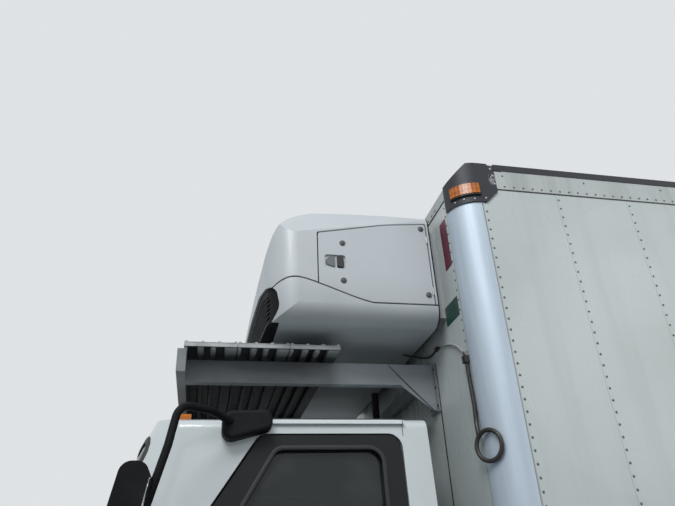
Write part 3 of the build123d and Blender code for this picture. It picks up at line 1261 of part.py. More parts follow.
ARM_FRONT_X = 3330
ARM_WIDTH = 50
BEAM_LENGTH = 40
GUSSET_FOOT_Z = 2290
GUSSET_REACH = 240
arms = None
for y_side in (-1, 1):
    ys = sorted((y_side * (ARM_Y - ARM_WIDTH / 2), y_side * (ARM_Y + ARM_WIDTH / 2)))
    arm = block((BOX_FRONT_X, ARM_FRONT_X), ys, (DECK_Z - ARM_DEPTH, DECK_Z))
    arms = arm if arms is None else arms + arm
    gusset = slab_y(
        rounded([
            (BOX_FRONT_X, DECK_Z - 20, 0), (BOX_FRONT_X, GUSSET_FOOT_Z, 0),
            (BOX_FRONT_X + 30, GUSSET_FOOT_Z, 0),
            (BOX_FRONT_X + GUSSET_REACH, DECK_Z - 60, 0), (BOX_FRONT_X + GUSSET_REACH, DECK_Z - 20, 0),
        ]),
        *sorted((y_side * (ARM_Y + 18), y_side * (ARM_Y + 26))),
    )
    arms += gusset
    plate_y = sorted((y_side * (ARM_Y - 60), y_side * (ARM_Y + 60)))
    arms += block((BOX_FRONT_X, BOX_FRONT_X + 8), plate_y, (GUSSET_FOOT_Z - 10, DECK_Z))
arms += block((ARM_FRONT_X, ARM_FRONT_X + BEAM_LENGTH), (-DECK_HALF, DECK_HALF), (DECK_Z - ARM_DEPTH, DECK_Z))
LEDGER = 35
arms += block((BOX_FRONT_X, BOX_FRONT_X + LEDGER), (-ARM_Y, ARM_Y), (DECK_Z - 90, DECK_Z - 20))
save("platform_arms", arms)

# Service hose from the unit down the front wall to the chassis, held by clips

HOSE_RADIUS = 22
HOSE_X = BOX_FRONT_X + 75
HOSE_Y = -200
CLIP_Z = (1100, 1500, 1900, 2300)
hose = rod_z(HOSE_RADIUS, HOSE_X, HOSE_Y, 960, UNIT_BOTTOM)
for z in CLIP_Z:
    hose += block((BOX_FRONT_X, HOSE_X), (HOSE_Y - 30, HOSE_Y + 30), (z - 12, z + 12))


def cable(points, radius):
    """Held cable: straight runs joined by arcs as large as the runs allow."""
    radii = []
    for before, here, after in zip(points, points[1:], points[2:]):
        first = Vector(*here) - Vector(*before)
        second = Vector(*after) - Vector(*here)
        turn = math.radians(first.get_angle(second))
        radii.append(0.45 * min(first.length, second.length) / math.tan(turn / 2))
    return pipe(points, radii, radius)


CABLE_RADIUS = 5
CABLE_X = BOX_FRONT_X + CABLE_RADIUS + SEAT_GAP
LOOM_RADIUS = 9
LOOM_X = BOX_FRONT_X + LOOM_RADIUS + SEAT_GAP
LOOM_Y = POST_Y - 16
CLAMP_Z = 2405
SIGNAL_CLAMP = (745, 2572)
signal_cable = cable([
    (BOX_FRONT_X + 116, 545, UNIT_BOTTOM - CABLE_RADIUS - 1),
    (BOX_FRONT_X + 70, 552, 2600),
    (CABLE_X + 6, 590, 2578),
    (CABLE_X, 660, 2566),
    (CABLE_X, SIGNAL_CLAMP[0], SIGNAL_CLAMP[1]),
    (CABLE_X, 830, 2560),
    (CABLE_X, 910, 2538),
    (CABLE_X, 985, 2502),
    (CABLE_X, 1042, 2452),
    (CABLE_X, LOOM_Y - 2, CLAMP_Z),
], CABLE_RADIUS)
COIL_RADIUS = 60
COIL_TURN = 30
COIL_Z = 2022
coil_away = POST_RADIUS + LOOM_RADIUS + 3
coil_x = POST_X + coil_away * math.cos(math.radians(COIL_TURN)) + COIL_RADIUS / 6
coil_y = POST_Y + coil_away * math.sin(math.radians(COIL_TURN)) - COIL_RADIUS / 6 * math.sqrt(3)
coil_plane = Plane(
    origin=(coil_x, coil_y, COIL_Z),
    z_dir=(math.cos(math.radians(COIL_TURN)), math.sin(math.radians(COIL_TURN)), 0),
)
coil = coil_plane * Torus(COIL_RADIUS, LOOM_RADIUS)
loom = cable([
    (LOOM_X, LOOM_Y, CLAMP_Z),
    (LOOM_X, LOOM_Y + 2, 2300),
    (LOOM_X, LOOM_Y + 8, 2200),
    (LOOM_X + 4, LOOM_Y + 8, 2120),
    (coil_x + COIL_RADIUS * 0.35, coil_y - COIL_RADIUS * 0.61, COIL_Z + COIL_RADIUS * 0.71),
], LOOM_RADIUS)
CLAMP_HALF = 16
signal_clamp = block(
    (BOX_FRONT_X, CABLE_X + 9), (SIGNAL_CLAMP[0] - CLAMP_HALF, SIGNAL_CLAMP[0] + CLAMP_HALF),
    (SIGNAL_CLAMP[1] - 9, SIGNAL_CLAMP[1] + 9),
)
loom_clamp = block(
    (BOX_FRONT_X, LOOM_X + 14), (LOOM_Y - CLAMP_HALF, LOOM_Y + CLAMP_HALF),
    (CLAMP_Z - CLAMP_HALF, CLAMP_Z + CLAMP_HALF),
)
save("service_lines", hose, signal_cable + signal_clamp + loom_clamp + loom + coil)
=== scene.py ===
import math

import bmesh
import bpy
from mathutils import Matrix, Vector


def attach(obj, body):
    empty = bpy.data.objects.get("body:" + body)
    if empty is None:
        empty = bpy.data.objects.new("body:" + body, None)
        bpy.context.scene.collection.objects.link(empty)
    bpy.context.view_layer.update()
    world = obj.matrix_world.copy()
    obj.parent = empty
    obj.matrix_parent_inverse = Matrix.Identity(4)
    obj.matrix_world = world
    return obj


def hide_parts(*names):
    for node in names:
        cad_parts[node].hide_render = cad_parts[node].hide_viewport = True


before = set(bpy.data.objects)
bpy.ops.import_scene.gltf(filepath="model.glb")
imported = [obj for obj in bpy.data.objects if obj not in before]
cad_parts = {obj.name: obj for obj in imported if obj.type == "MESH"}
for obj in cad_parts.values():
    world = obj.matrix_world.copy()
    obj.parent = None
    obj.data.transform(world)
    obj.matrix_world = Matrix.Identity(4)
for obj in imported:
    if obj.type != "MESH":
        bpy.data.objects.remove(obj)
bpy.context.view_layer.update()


# Insulated box walls and roof.
# White laminate sheets on foam, each sheet lapped over the next and riveted in columns
# 16 inches apart, with a skim of road dust that is heavier towards the bottom.

class Wire:
    """One shader socket. Sums, products, powers and comparisons of it add Math nodes."""

    def __init__(self, tree, socket=None):
        self.tree = tree
        self.socket = socket

    def node(self, kind, settings=(), inputs=(), out=0):
        """Any node: its settings first, then the values or wires of its sockets."""
        made = self.tree.nodes.new(kind)
        for name, value in dict(settings).items():
            setattr(made, name, value)
        for key, value in dict(inputs).items():
            if isinstance(value, Wire):
                self.tree.links.new(value.socket, made.inputs[key])
            else:
                made.inputs[key].default_value = value
        return Wire(self.tree, made.outputs[out])

    def maths(self, operation, *values):
        """A Math node on the values given."""
        return self.node("ShaderNodeMath", {"operation": operation}, dict(enumerate(values)))

    def __add__(self, other):
        return self.maths("ADD", self, other)

    def __sub__(self, other):
        return self.maths("SUBTRACT", self, other)

    def __rsub__(self, other):
        return self.maths("SUBTRACT", other, self)

    def __mul__(self, other):
        return self.maths("MULTIPLY", self, other)

    def __pow__(self, other):
        return self.maths("POWER", self, other)

    def __lt__(self, other):
        return self.maths("LESS_THAN", self, other)

    def __gt__(self, other):
        return self.maths("GREATER_THAN", self, other)

    def __or__(self, other):
        """The larger of two masks, so that either of them shows."""
        return self.maths("MAXIMUM", self, other)

    def __abs__(self):
        return self.maths("ABSOLUTE", self)

    __radd__ = __add__
    __rmul__ = __mul__

    def axis(self, index):
        """One part of a place or direction: 0 for X, 1 for Y, 2 for Z."""
        return self.node("ShaderNodeSeparateXYZ", inputs={0: self}, out=index)

    def noise(self, scale, detail, roughness=0.5):
        """Cloudy noise between 0 and 1 at this place."""
        inputs = {"Vector": self, "Scale": scale, "Detail": detail, "Roughness": roughness}
        return self.node("ShaderNodeTexNoise", inputs=inputs)

    def stretched(self, x, y, z):
        """The same place with its axes stretched, so that a pattern runs long or short along them."""
        inputs = {0: self, 1: (x, y, z)}
        return self.node("ShaderNodeVectorMath", {"operation": "MULTIPLY"}, inputs)

    def smooth(self, low, high):
        """0 below low, 1 above high, and an eased slope between."""
        settings = {"interpolation_type": "SMOOTHSTEP"}
        inputs = {"Value": self, "From Min": low, "From Max": high}
        return self.node("ShaderNodeMapRange", settings, inputs)

    def blend(self, first, second):
        """The first colour where this wire is 0, the second where it is 1."""
        inputs = {0: self, 6: first, 7: second}
        return self.node("ShaderNodeMix", {"data_type": "RGBA"}, inputs, out=2)

    def every(self, pitch, offset=0.0):
        """Distance to the nearest of a row of lines one pitch apart."""
        turned = self.maths("FLOORED_MODULO", self + (pitch / 2 - offset), pitch)
        return abs(turned - pitch / 2)

    def to(self, shader, socket):
        """Feeds a socket of a shader."""
        self.tree.links.new(self.socket, shader.inputs[socket])

    def bump(self, shader, distance, strength=1.0):
        """Raises the look of the surface where this wire is high, by so many metres."""
        inputs = {"Strength": strength, "Distance": distance, "Height": self}
        self.node("ShaderNodeBump", inputs=inputs).to(shader, "Normal")


def surface(name, plain):
    """A new material: its shader with plain values set, and the wire of the place on the truck."""
    material = bpy.data.materials.new(name)
    material.use_nodes = True
    shader = material.node_tree.nodes["Principled BSDF"]
    for socket, value in plain.items():
        shader.inputs[socket].default_value = value
    place = Wire(material.node_tree).node("ShaderNodeTexCoord", out="Object")
    return material, shader, place


def speckled(name, plain, colours, spots, rough, grain):
    """A small part's material: two colours in spots, roughness (least, spread) in a grain."""
    material, shader, place = surface(name, plain)
    place.noise(*spots).blend(*colours).to(shader, "Base Color")
    (rough[0] + place.noise(*grain) * rough[1]).to(shader, "Roughness")
    return material


def dress(material, *nodes):
    """Gives a material to solids of the part."""
    for node in nodes:
        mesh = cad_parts[node].data
        mesh.materials.clear()
        mesh.materials.append(material)


def piece(name, shell, body, material, smooth):
    """A built shell becomes a piece of the truck that rides on a body."""
    for face in shell.faces:
        face.smooth = smooth
    mesh = bpy.data.meshes.new(name)
    shell.to_mesh(mesh)
    shell.free()
    mesh.materials.append(material)
    thing = bpy.data.objects.new(name, mesh)
    bpy.context.scene.collection.objects.link(thing)
    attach(thing, body)
    return thing


def band(shell, near, far):
    """Faces all the way round between two rings of as many points."""
    for k in range(len(near)):
        m = (k + 1) % len(near)
        shell.faces.new((near[k], near[m], far[m], far[k]))


def heads(name, spots, body, slot, material, radius, height, sides):
    """Low domed rivet or screw heads at spots of (place, outward direction)."""
    dome = ((1.0, 0.0), (0.86, 0.55), (0.5, 0.9))
    shell = bmesh.new()
    for place, outward in spots:
        turn = Vector(outward).to_track_quat("Z", "Y").to_matrix().to_4x4()
        base = Matrix.Translation(place) @ turn
        rings = []
        for reach, rise in dome:
            ring = []
            for i in range(sides):
                angle = 2 * math.pi * i / sides
                out = Vector((math.cos(angle), math.sin(angle), 0)) * radius * reach
                ring.append(shell.verts.new(base @ (out + Vector((0, 0, height * rise)))))
            rings.append(ring)
        tip = shell.verts.new(base @ Vector((0, 0, height)))
        for low, high in zip(rings, rings[1:]):
            band(shell, low, high)
        for i in range(sides):
            shell.faces.new((rings[-1][i], rings[-1][(i + 1) % sides], tip))
    piece(name, shell, body, material, smooth=True)


def closed(name, shell, body, material, smooth=False):
    """A piece from a shell that may be inside out: its faces are turned outwards first."""
    bmesh.ops.recalc_face_normals(shell, faces=shell.faces)
    return piece(name, shell, body, material, smooth)


WALL_Y = 1.220
WALL_FOOT_Z = 1.09
POST_X = 1.978
POST_Y = 1.088
FRONT_WALL_X = 2.110
RAIL_LOW_Z = 3.240
ROOF_GAP_X = 1.84
ROOF_GAP_Y = 1.15
ROOF_GAP_Z = 3.345
LAP_SHIFT = 0.012
SEALANT_WIDTH = 0.007
JOINT_WIDTH = 0.004
COLUMN_X = 1.960
COLUMN_PITCH = 0.4064
RIVET_PITCH = 0.0508
RIVET_TOP_Z = 3.204
RIVET = {"radius": 0.0062, "height": 0.0026, "sides": 6}
COLUMNS = 15
FRONT_RIVET_Y = 1.070
LOOM_TOP_Z = 2.44
WALL_WHITE = (0.50, 0.555, 0.555, 1)
WALL_DUSTY = (0.36, 0.40, 0.39, 1)
SEAM_GREY = (0.07, 0.075, 0.075, 1)

walls, wall_shader, place = surface("box_wall_laminate", {"Roughness": 0.32, "Coat Weight": 0.15})
along = place.axis(0)
up = place.axis(2)
lap = along.every(COLUMN_PITCH, COLUMN_X + LAP_SHIFT)
seam = (1 - lap.smooth(0.0006, 0.0018)) * 0.45
sealant = (up > RAIL_LOW_Z - SEALANT_WIDTH) * (up < RAIL_LOW_Z)
post_joint = (along > POST_X - JOINT_WIDTH) * (along < POST_X + 0.001)
front_joint = (abs(place.axis(1)) > POST_Y - JOINT_WIDTH) * (along > POST_X)
roof_gap = (along > ROOF_GAP_X) * (up > ROOF_GAP_Z) * (abs(place.axis(1)) > ROOF_GAP_Y)
lines = seam | sealant | roof_gap | (post_joint | front_joint) * 0.7
streaks = place.stretched(9, 9, 0.5).noise(1.6, 5).smooth(0.45, 0.75)
patches = place.stretched(1, 1, 1.7).noise(0.8, 4).smooth(0.35, 0.7)
dust = streaks * 0.18 + patches * 0.34 + (1 - up.smooth(0.9, 2.2)) * 0.35
tone = dust.blend(WALL_WHITE, WALL_DUSTY)
lines.blend(tone, SEAM_GREY).to(wall_shader, "Base Color")
(0.26 + dust * 0.3).to(wall_shader, "Roughness")
waves = place.stretched(1, 1, 0.6).noise(2.2, 2) * 0.6 + lap.smooth(0, 0.02) * 0.12
waves.bump(wall_shader, 0.006, 0.5)
dress(walls, "box_side_walls", "box_front_wall", "box_roof")

rivet_grey, rivet_shader, place = surface("wall_rivet", {"Roughness": 0.5, "Metallic": 0.35})
place.noise(40, 2).blend((0.15, 0.16, 0.165, 1), (0.08, 0.085, 0.09, 1)).to(rivet_shader, "Base Color")

rivets = []
for side in (-1, 1):
    for row in range(int((RIVET_TOP_Z - WALL_FOOT_Z) / RIVET_PITCH) + 1):
        z = RIVET_TOP_Z - row * RIVET_PITCH
        for column in range(COLUMNS):
            x = COLUMN_X - column * COLUMN_PITCH
            rivets.append(((x, side * WALL_Y, z), (0, side, 0)))
        if side < 0 or z > LOOM_TOP_Z:
            rivets.append(((FRONT_WALL_X, side * FRONT_RIVET_Y, z), (1, 0, 0)))
heads("wall_rivets", rivets, "chassis", "aluminium_trim", rivet_grey, **RIVET)


# Edge rails and round corner posts.
# Extruded aluminium with a matt mill finish: post quarters that wrap the front corners, top
# and bottom rails down both sides and a rail over the front wall, all fixed with rivets.

POST_SKY_HIGHLIGHT = (0.50, 0.585, 0.67, 1)
POST_SKY_TINT = (0.36, 0.43, 0.50, 1)
RAIL_BRIGHT = (0.46, 0.50, 0.50, 1)
RAIL_DULL = (0.34, 0.37, 0.365, 1)
RAIL_Y = 1.224
RAIL_ROW_Z = 3.256
RAIL_UPPER_Z = 3.322
UPPER_RIVETS = 13
UPPER_EVERY = 9
RAIL_FOOT_ROWS = (0.975, 1.035)
RAIL_FOOT_X = 1.95
FRONT_RAIL_X = 2.114
FRONT_HALF_ROW = 19
RAIL_REAR_X = -3.86
RAIL_FRONT_X = 1.84

edges, edge_shader, place = surface("edge_aluminium", {"Metallic": 0.35, "Coat Weight": 0.0})
draw_lines = place.stretched(60, 60, 0.8).noise(3, 4)
stains_and_sheen = place.stretched(8, 8, 0.5).noise(1.5, 4).smooth(0.4, 0.75)
# Painted reflection: the post quarters carry a blue tint of reflected sky, and their upright light
# streaks are painted highlight bands mixed with stains; the rails carry stains and draw lines.
post = (place.axis(0) > POST_X + 0.001) * (abs(place.axis(1)) > POST_Y + 0.0005)
wear_and_sheen = stains_and_sheen * 0.7 + draw_lines * 0.25
tone = post.blend(wear_and_sheen.blend(RAIL_BRIGHT, RAIL_DULL), wear_and_sheen.blend(POST_SKY_HIGHLIGHT, POST_SKY_TINT))
roof_gap = (place.axis(0) > ROOF_GAP_X) * (place.axis(2) > ROOF_GAP_Z)
roof_gap.blend(tone, SEAM_GREY).to(edge_shader, "Base Color")
(0.46 + draw_lines * 0.14).to(edge_shader, "Roughness")
draw_lines.bump(edge_shader, 0.0004, 0.4)
dress(edges, "box_rails")

rail_rivets = []
for side in (-1, 1):
    for step in range(int((RAIL_FRONT_X - RAIL_REAR_X) / RIVET_PITCH)):
        x = RAIL_FRONT_X - step * RIVET_PITCH
        rail_rivets.append(((x, side * RAIL_Y, RAIL_ROW_Z), (0, side, 0)))
    for step in range(UPPER_RIVETS):
        x = RAIL_FRONT_X - step * UPPER_EVERY * RIVET_PITCH
        rail_rivets.append(((x, side * RAIL_Y, RAIL_UPPER_Z), (0, side, 0)))
    for z in RAIL_FOOT_ROWS:
        for step in range(int((RAIL_FOOT_X - RAIL_REAR_X) / (2 * RIVET_PITCH))):
            x = RAIL_FOOT_X - step * 2 * RIVET_PITCH
            rail_rivets.append(((x, side * RAIL_Y, z), (0, side, 0)))
for step in range(-FRONT_HALF_ROW, FRONT_HALF_ROW + 1):
    rail_rivets.append(((FRONT_RAIL_X, step * RIVET_PITCH, RAIL_ROW_Z), (1, 0, 0)))
heads("rail_rivets", rail_rivets, "chassis", "aluminium_trim", rivet_grey, **RIVET)


# Corner castings and roof trim.
# Cast alloy caps painted dark grey that hold the corner lamp, scuffed to bare metal on their
# outer edges, with the dark edge trim that runs back along the roof from each of them.

CASTING_GREY = (0.040, 0.042, 0.050, 1)
CASTING_WORN = (0.40, 0.42, 0.44, 1)
CASTING_RADIUS = 0.139
WORN_SPOT = (1.903, 3.295)
CORNER_STEPS = 5
EDGE_STEPS = 8
LAMP_EDGE = ((27.4, 3.194), (88.6, 3.194), (88.6, 3.259), (27.4, 3.259))
SCREW = {"radius": 0.0058, "height": 0.003, "sides": 8}
FRONT_SCREWS = ((34.4, 3.175), (54.2, 3.175), (75.8, 3.170))
SIDE_SCREWS = ((1.954, 3.176), (1.893, 3.315), (1.891, 3.266), (1.901, 3.357))

castings, casting_shader, place = surface("cast_corner", {"Metallic": 0.1, "Specular IOR Level": 0.25})
worn_x = place.axis(0) - WORN_SPOT[0]
worn_z = (place.axis(2) - WORN_SPOT[1]) * 0.5
near_spot = 1 - ((worn_x * worn_x + worn_z * worn_z) ** 0.5).smooth(0.006, 0.022)
flaked = place.noise(72, 6, 0.7)
scuffs = flaked.smooth(0.70, 0.75) * 0.6 + near_spot * flaked.smooth(0.44, 0.50)
grain = place.noise(180, 2)
scuffs.blend(CASTING_GREY, CASTING_WORN).to(casting_shader, "Base Color")
(0.38 + grain * 0.2).to(casting_shader, "Roughness")
(grain * 0.3 - scuffs * 0.4).bump(casting_shader, 0.0006, 0.6)
dress(castings, "corner_castings")


def rounded(rows):
    """Points round a closed outline. Each row is (first, second, corner radius)."""
    points = []
    for i, (a, b, radius) in enumerate(rows):
        corner = Vector((a, b))
        back = (Vector(rows[i - 1][:2]) - corner).normalized()
        ahead = (Vector(rows[(i + 1) % len(rows)][:2]) - corner).normalized()
        half = back.angle(ahead) / 2
        centre = corner + (back + ahead).normalized() * radius / math.sin(half)
        start = corner + back * radius / math.tan(half) - centre
        end = corner + ahead * radius / math.tan(half) - centre
        for step in range(CORNER_STEPS + 1):
            mixed = start.lerp(end, step / CORNER_STEPS)
            points.append(centre + mixed.normalized() * radius)
    return points


def bead(shell, path, width, height, ring=True):
    """A low strip with rounded shoulders laid along (place, outward) pairs on a surface."""
    section = ((-0.5, -0.3), (-0.5, 0.55), (-0.28, 1.0), (0.28, 1.0), (0.5, 0.55), (0.5, -0.3))
    loops = []
    count = len(path)
    for i, (spot, outward) in enumerate(path):
        after = path[(i + 1) % count if ring else min(i + 1, count - 1)][0]
        before = path[i - 1 if ring else max(i - 1, 0)][0]
        along = (Vector(after) - Vector(before)).normalized()
        out = Vector(outward).normalized()
        side = along.cross(out).normalized()
        loops.append([
            shell.verts.new(Vector(spot) + side * width * u + out * height * v) for u, v in section
        ])
    pairs = list(zip(loops, loops[1:]))
    if ring:
        pairs.append((loops[-1], loops[0]))
    for near, far in pairs:
        band(shell, near, far)
    if not ring:
        shell.faces.new(loops[0])
        shell.faces.new(list(reversed(loops[-1])))


def on_casting(angle, z, side):
    """A place on the casting's round front, by its angle from straight ahead, and the way out."""
    turn = math.radians(angle)
    out = Vector((math.cos(turn), side * math.sin(turn), 0))
    return Vector((POST_X, side * POST_Y, z)) + out * CASTING_RADIUS, out


lamp_frame = bmesh.new()
screws = []
for side in (-1, 1):
    path = []
    for (a, z), (b, w) in zip(LAMP_EDGE, LAMP_EDGE[1:] + LAMP_EDGE[:1]):
        for step in range(EDGE_STEPS):
            share = step / EDGE_STEPS
            path.append(on_casting(a + (b - a) * share, z + (w - z) * share, side))
    bead(lamp_frame, path, width=0.007, height=0.011)
    for angle, z in FRONT_SCREWS:
        screws.append(on_casting(angle, z, side))
    for x, z in SIDE_SCREWS:
        screws.append(((x, side * (POST_Y + CASTING_RADIUS), z), (0, side, 0)))

matt_black = speckled(
    "lamp_frame_black", {"Coat Weight": 0.1}, ((0.008, 0.008, 0.009, 1), (0.02, 0.02, 0.022, 1)),
    (60, 3), (0.4, 0.2), (90, 2),
)
closed("corner_lamp_frames", lamp_frame, "chassis", matt_black)

screw_zinc = speckled(
    "screw_zinc", {"Metallic": 0.7}, ((0.50, 0.51, 0.52, 1), (0.28, 0.28, 0.28, 1)),
    (50, 3), (0.35, 0.25), (70, 2),
)
heads("casting_screws", screws, "chassis", "aluminium_trim", screw_zinc, **SCREW)


# Amber lamps.
# Moulded amber lenses with upright prisms inside, on the corner castings, along the cab roof
# and low on each side of the box.

PRISMS_A_TURN = 52
RADIANS_A_METRE = 220

amber, amber_shader, place = surface("amber_lens", {"Roughness": 0.28, "Coat Weight": 0.15})
turn = place.maths("ARCTAN2", abs(place.axis(1)) - POST_Y, place.axis(0) - POST_X)
prisms = place.maths("SINE", turn * PRISMS_A_TURN) * 0.5 + 0.5
rows = place.maths("SINE", place.axis(2) * RADIANS_A_METRE) * 0.5 + 0.5
depth = prisms * 0.25 + rows * 0.2 + place.stretched(1, 1, 3).noise(28, 3) * 0.5
depth.blend((0.13, 0.020, 0.001, 1), (0.70, 0.20, 0.008, 1)).to(amber_shader, "Base Color")
prisms.bump(amber_shader, 0.001, 0.4)
dress(amber, "amber_lamps")


# Cooling unit shell.
# Two thick moulded plastic halves that meet at a curved seam with a dark gasket, and a door in
# each side of the upper half. Satin white, mottled with dust, with painted shade low down.

UNIT_SIDE_Y = 0.955
UNIT_WHITE = (0.50, 0.545, 0.575, 1)
UNIT_DUST_AND_SHADE = (0.28, 0.305, 0.315, 1)

shell, shell_shader, place = surface("unit_moulding", {"Roughness": 0.38, "Coat Weight": 0.1})
# The mottling is dust; the darkening below z 2.56–2.90 is painted shade under the unit.
film = place.noise(1.8, 5).smooth(0.35, 0.75) * 0.3 + (1 - place.axis(2).smooth(2.56, 2.90)) * 0.6
film.blend(UNIT_WHITE, UNIT_DUST_AND_SHADE).to(shell_shader, "Base Color")
(0.34 + film * 0.25).to(shell_shader, "Roughness")
(place.noise(3.5, 2) * 0.7 + place.noise(260, 2) * 0.05).bump(shell_shader, 0.004, 0.35)
dress(shell, "unit_upper_shell", "unit_lower_shell", "unit_door_left", "unit_door_right")


# Side door fittings.
# Each unit door is held shut by four dark quarter-turn bolts and has a black paddle latch
# beside a tapered grey pad, both sunk in a moulded recess.

def plate(shell, ring, outward, thick, chamfer):
    """A flat plate on a ring of places, standing out by thick, its outer edge chamfered."""
    out = Vector(outward).normalized()
    corners = [Vector(p) for p in ring]
    middle = sum(corners, Vector()) / len(corners)
    loops = [[shell.verts.new(p) for p in corners]]
    loops.append([shell.verts.new(p + out * (thick - chamfer)) for p in corners])
    inner = [p + (middle - p).normalized() * chamfer + out * thick for p in corners]
    loops.append([shell.verts.new(p) for p in inner])
    for near, far in zip(loops, loops[1:]):
        band(shell, near, far)
    shell.faces.new(loops[-1])
    shell.faces.new(list(reversed(loops[0])))


RECESS_Y = 0.946
PAD = (
    (2.708, 2.935, 0.006), (2.706, 2.912, 0.008), (2.662, 2.897, 0.006), (2.662, 2.957, 0.006),
    (2.690, 2.955, 0.01),
)
PADDLE = ((2.652, 2.898, 0.006), (2.619, 2.896, 0.008), (2.619, 2.955, 0.008), (2.652, 2.957, 0.006))
BOLT_SPOTS = ((2.621, 3.030), (2.625, 2.825), (2.203, 3.143), (2.205, 2.769))
BOLT = {"radius": 0.0115, "height": 0.005, "sides": 10}
BOLT_RIM_RADIUS = 0.014
RIM_STEPS = 16

latch_grey = speckled(
    "latch_pad_grey", {"Coat Weight": 0.0}, ((0.10, 0.115, 0.125, 1), (0.16, 0.175, 0.185, 1)),
    (50, 3), (0.45, 0.2), (90, 2),
)
bolt_steel = speckled(
    "bolt_dark_steel", {"Metallic": 0.5}, ((0.05, 0.055, 0.06, 1), (0.13, 0.135, 0.14, 1)),
    (60, 3), (0.4, 0.25), (80, 2),
)
for side, body in ((1, "unit_door_left"), (-1, "unit_door_right")):
    spots = [((x, side * UNIT_SIDE_Y, z), (0, side, 0)) for x, z in BOLT_SPOTS]
    heads(body + "_bolts", spots, body, "steel", bolt_steel, **BOLT)
    rims = bmesh.new()
    for x, z in BOLT_SPOTS:
        path = []
        for k in range(RIM_STEPS):
            angle = 2 * math.pi * k / RIM_STEPS
            a = x + BOLT_RIM_RADIUS * math.cos(angle)
            b = z + BOLT_RIM_RADIUS * math.sin(angle)
            path.append(((a, side * UNIT_SIDE_Y, b), (0, side, 0)))
        bead(rims, path, width=0.004, height=0.002)
    closed(body + "_bolt_rims", rims, body, latch_grey)
    out = (0, side, 0)
    pad = bmesh.new()
    ring = [(a, side * RECESS_Y, b) for a, b in rounded(PAD)]
    plate(pad, ring, out, thick=0.006, chamfer=0.002)
    closed(body + "_latch_pad", pad, body, latch_grey)
    paddle = bmesh.new()
    ring = [(a, side * RECESS_Y, b) for a, b in rounded(PADDLE)]
    plate(paddle, ring, out, thick=0.010, chamfer=0.003)
    closed(body + "_latch", paddle, body, matt_black)


# Blank labels.
# Two plain film labels stuck on the front wall beside the unit, a tall maroon one and a wide
# green one below it.

MAROON = ((0.984, 3.151, 0.004), (1.062, 3.151, 0.004), (1.062, 2.888, 0.004), (0.984, 2.888, 0.004))
GREEN = ((0.902, 2.723, 0.004), (1.060, 2.723, 0.004), (1.060, 2.627, 0.004), (0.902, 2.627, 0.004))

for name, outline, bright, faded in (
    ("maroon_label", MAROON, (0.135, 0.014, 0.038, 1), (0.085, 0.018, 0.036, 1)),
    ("green_label", GREEN, (0.016, 0.068, 0.052, 1), (0.030, 0.062, 0.054, 1)),
):
    film, film_shader, place = surface(name, {"Coat Weight": 0.1})
    worn = place.noise(9, 5).smooth(0.35, 0.75)
    worn.blend(bright, faded).to(film_shader, "Base Color")
    (0.35 + worn * 0.25).to(film_shader, "Roughness")
    label = bmesh.new()
    ring = [(FRONT_WALL_X, y, z) for y, z in rounded(outline)]
    plate(label, ring, (1, 0, 0), thick=0.0012, chamfer=0.0004)
    closed(name, label, "chassis", film)


# Unit core, mounting plate and grille.
# The mounting plate is bolted to the front wall and carries coils and fans behind a grille of
# flat bars, moulded in black like the mirror housings, the mudguards and the battery box.

CORE_PLATE_X = 2.1565
FIN_PITCH = 0.0035
CORE_LIGHT = (0.36, 0.39, 0.40, 1)

core_paint, core_shader, place = surface("unit_core_paint", {"Metallic": 0.3})
fins = place.axis(1).every(FIN_PITCH)
dark = (place.noise(5, 4) * 0.6).blend((0.008, 0.008, 0.010, 1), (0.03, 0.03, 0.033, 1))
bulkhead_side = place.axis(0) < CORE_PLATE_X
bulkhead_side.blend(dark, CORE_LIGHT).to(core_shader, "Base Color")
(0.5 + place.noise(9, 3) * 0.3).to(core_shader, "Roughness")
fins.bump(core_shader, 0.002, 0.3)
dress(core_paint, "unit_core")

black, black_shader, place = surface("black_moulding", {"Coat Weight": 0.0, "Specular IOR Level": 0.15})
haze = place.noise(4, 5).smooth(0.4, 0.8)
haze.blend((0.003, 0.003, 0.004, 1), (0.011, 0.012, 0.014, 1)).to(black_shader, "Base Color")
(0.5 + place.noise(150, 2) * 0.25).to(black_shader, "Roughness")
place.noise(400, 2).bump(black_shader, 0.0005, 0.5)
dress(black, "unit_grille", "cab_grille", "mirrors", "mudguards", "battery_box")


# Catwalk planks.
# Three aluminium planks laid on the arms, each a ridged sheet on four flat ribs with rows of
# raised buttons between its ridges, closed at both ends by a narrow strip.

PLANKS = 3
PLANK_BACK_X = 2.625
PLANK_PITCH = 0.240
PLANK_WIDTH = 0.238
PLANK_HALF = 0.810
PLANK_FOOT_Z = 2.5205
PLANK_TOP_Z = 2.553
SHEET = 0.004
STRIP_LOW_Z = 2.531
STRIP = 0.004
RIB_END = 0.006
RIBS = ((0.000, 0.058), (0.096, 0.121), (0.150, 0.180), (0.222, 0.238))
RIDGES = 4
RIDGE_EDGE = 0.009
RIDGE_END = 0.001
RIDGE_GAP = (PLANK_WIDTH - 2 * RIDGE_EDGE) / (RIDGES - 1)
RIDGE_HEIGHT = 0.006
RIDGE_HALF = 0.0078
RIDGE_STEPS = 8
BUTTONS = 34
BUTTON_PITCH = 0.0477
BUTTON_START = 0.024
BUTTON = {"radius": 0.013, "height": 0.004, "sides": 8}
PLANK_LIGHT = (0.36, 0.38, 0.39, 1)
PLANK_WEATHERED = (0.24, 0.255, 0.265, 1)
PLANK_PAINTED_SHADE = (0.020, 0.022, 0.026, 1)


def bar(shell, low, high):
    """A straight bar between two corners, its edges slightly broken."""
    made = bmesh.ops.create_cube(shell, size=1)["verts"]
    middle = (Vector(low) + Vector(high)) / 2
    size = Vector(high) - Vector(low)
    for vert in made:
        vert.co = middle + Vector([c * s for c, s in zip(vert.co, size)])
    edges = {edge for vert in made for edge in vert.link_edges}
    bmesh.ops.bevel(shell, geom=list(edges), offset=min(size) * 0.2, segments=1, affect="EDGES")


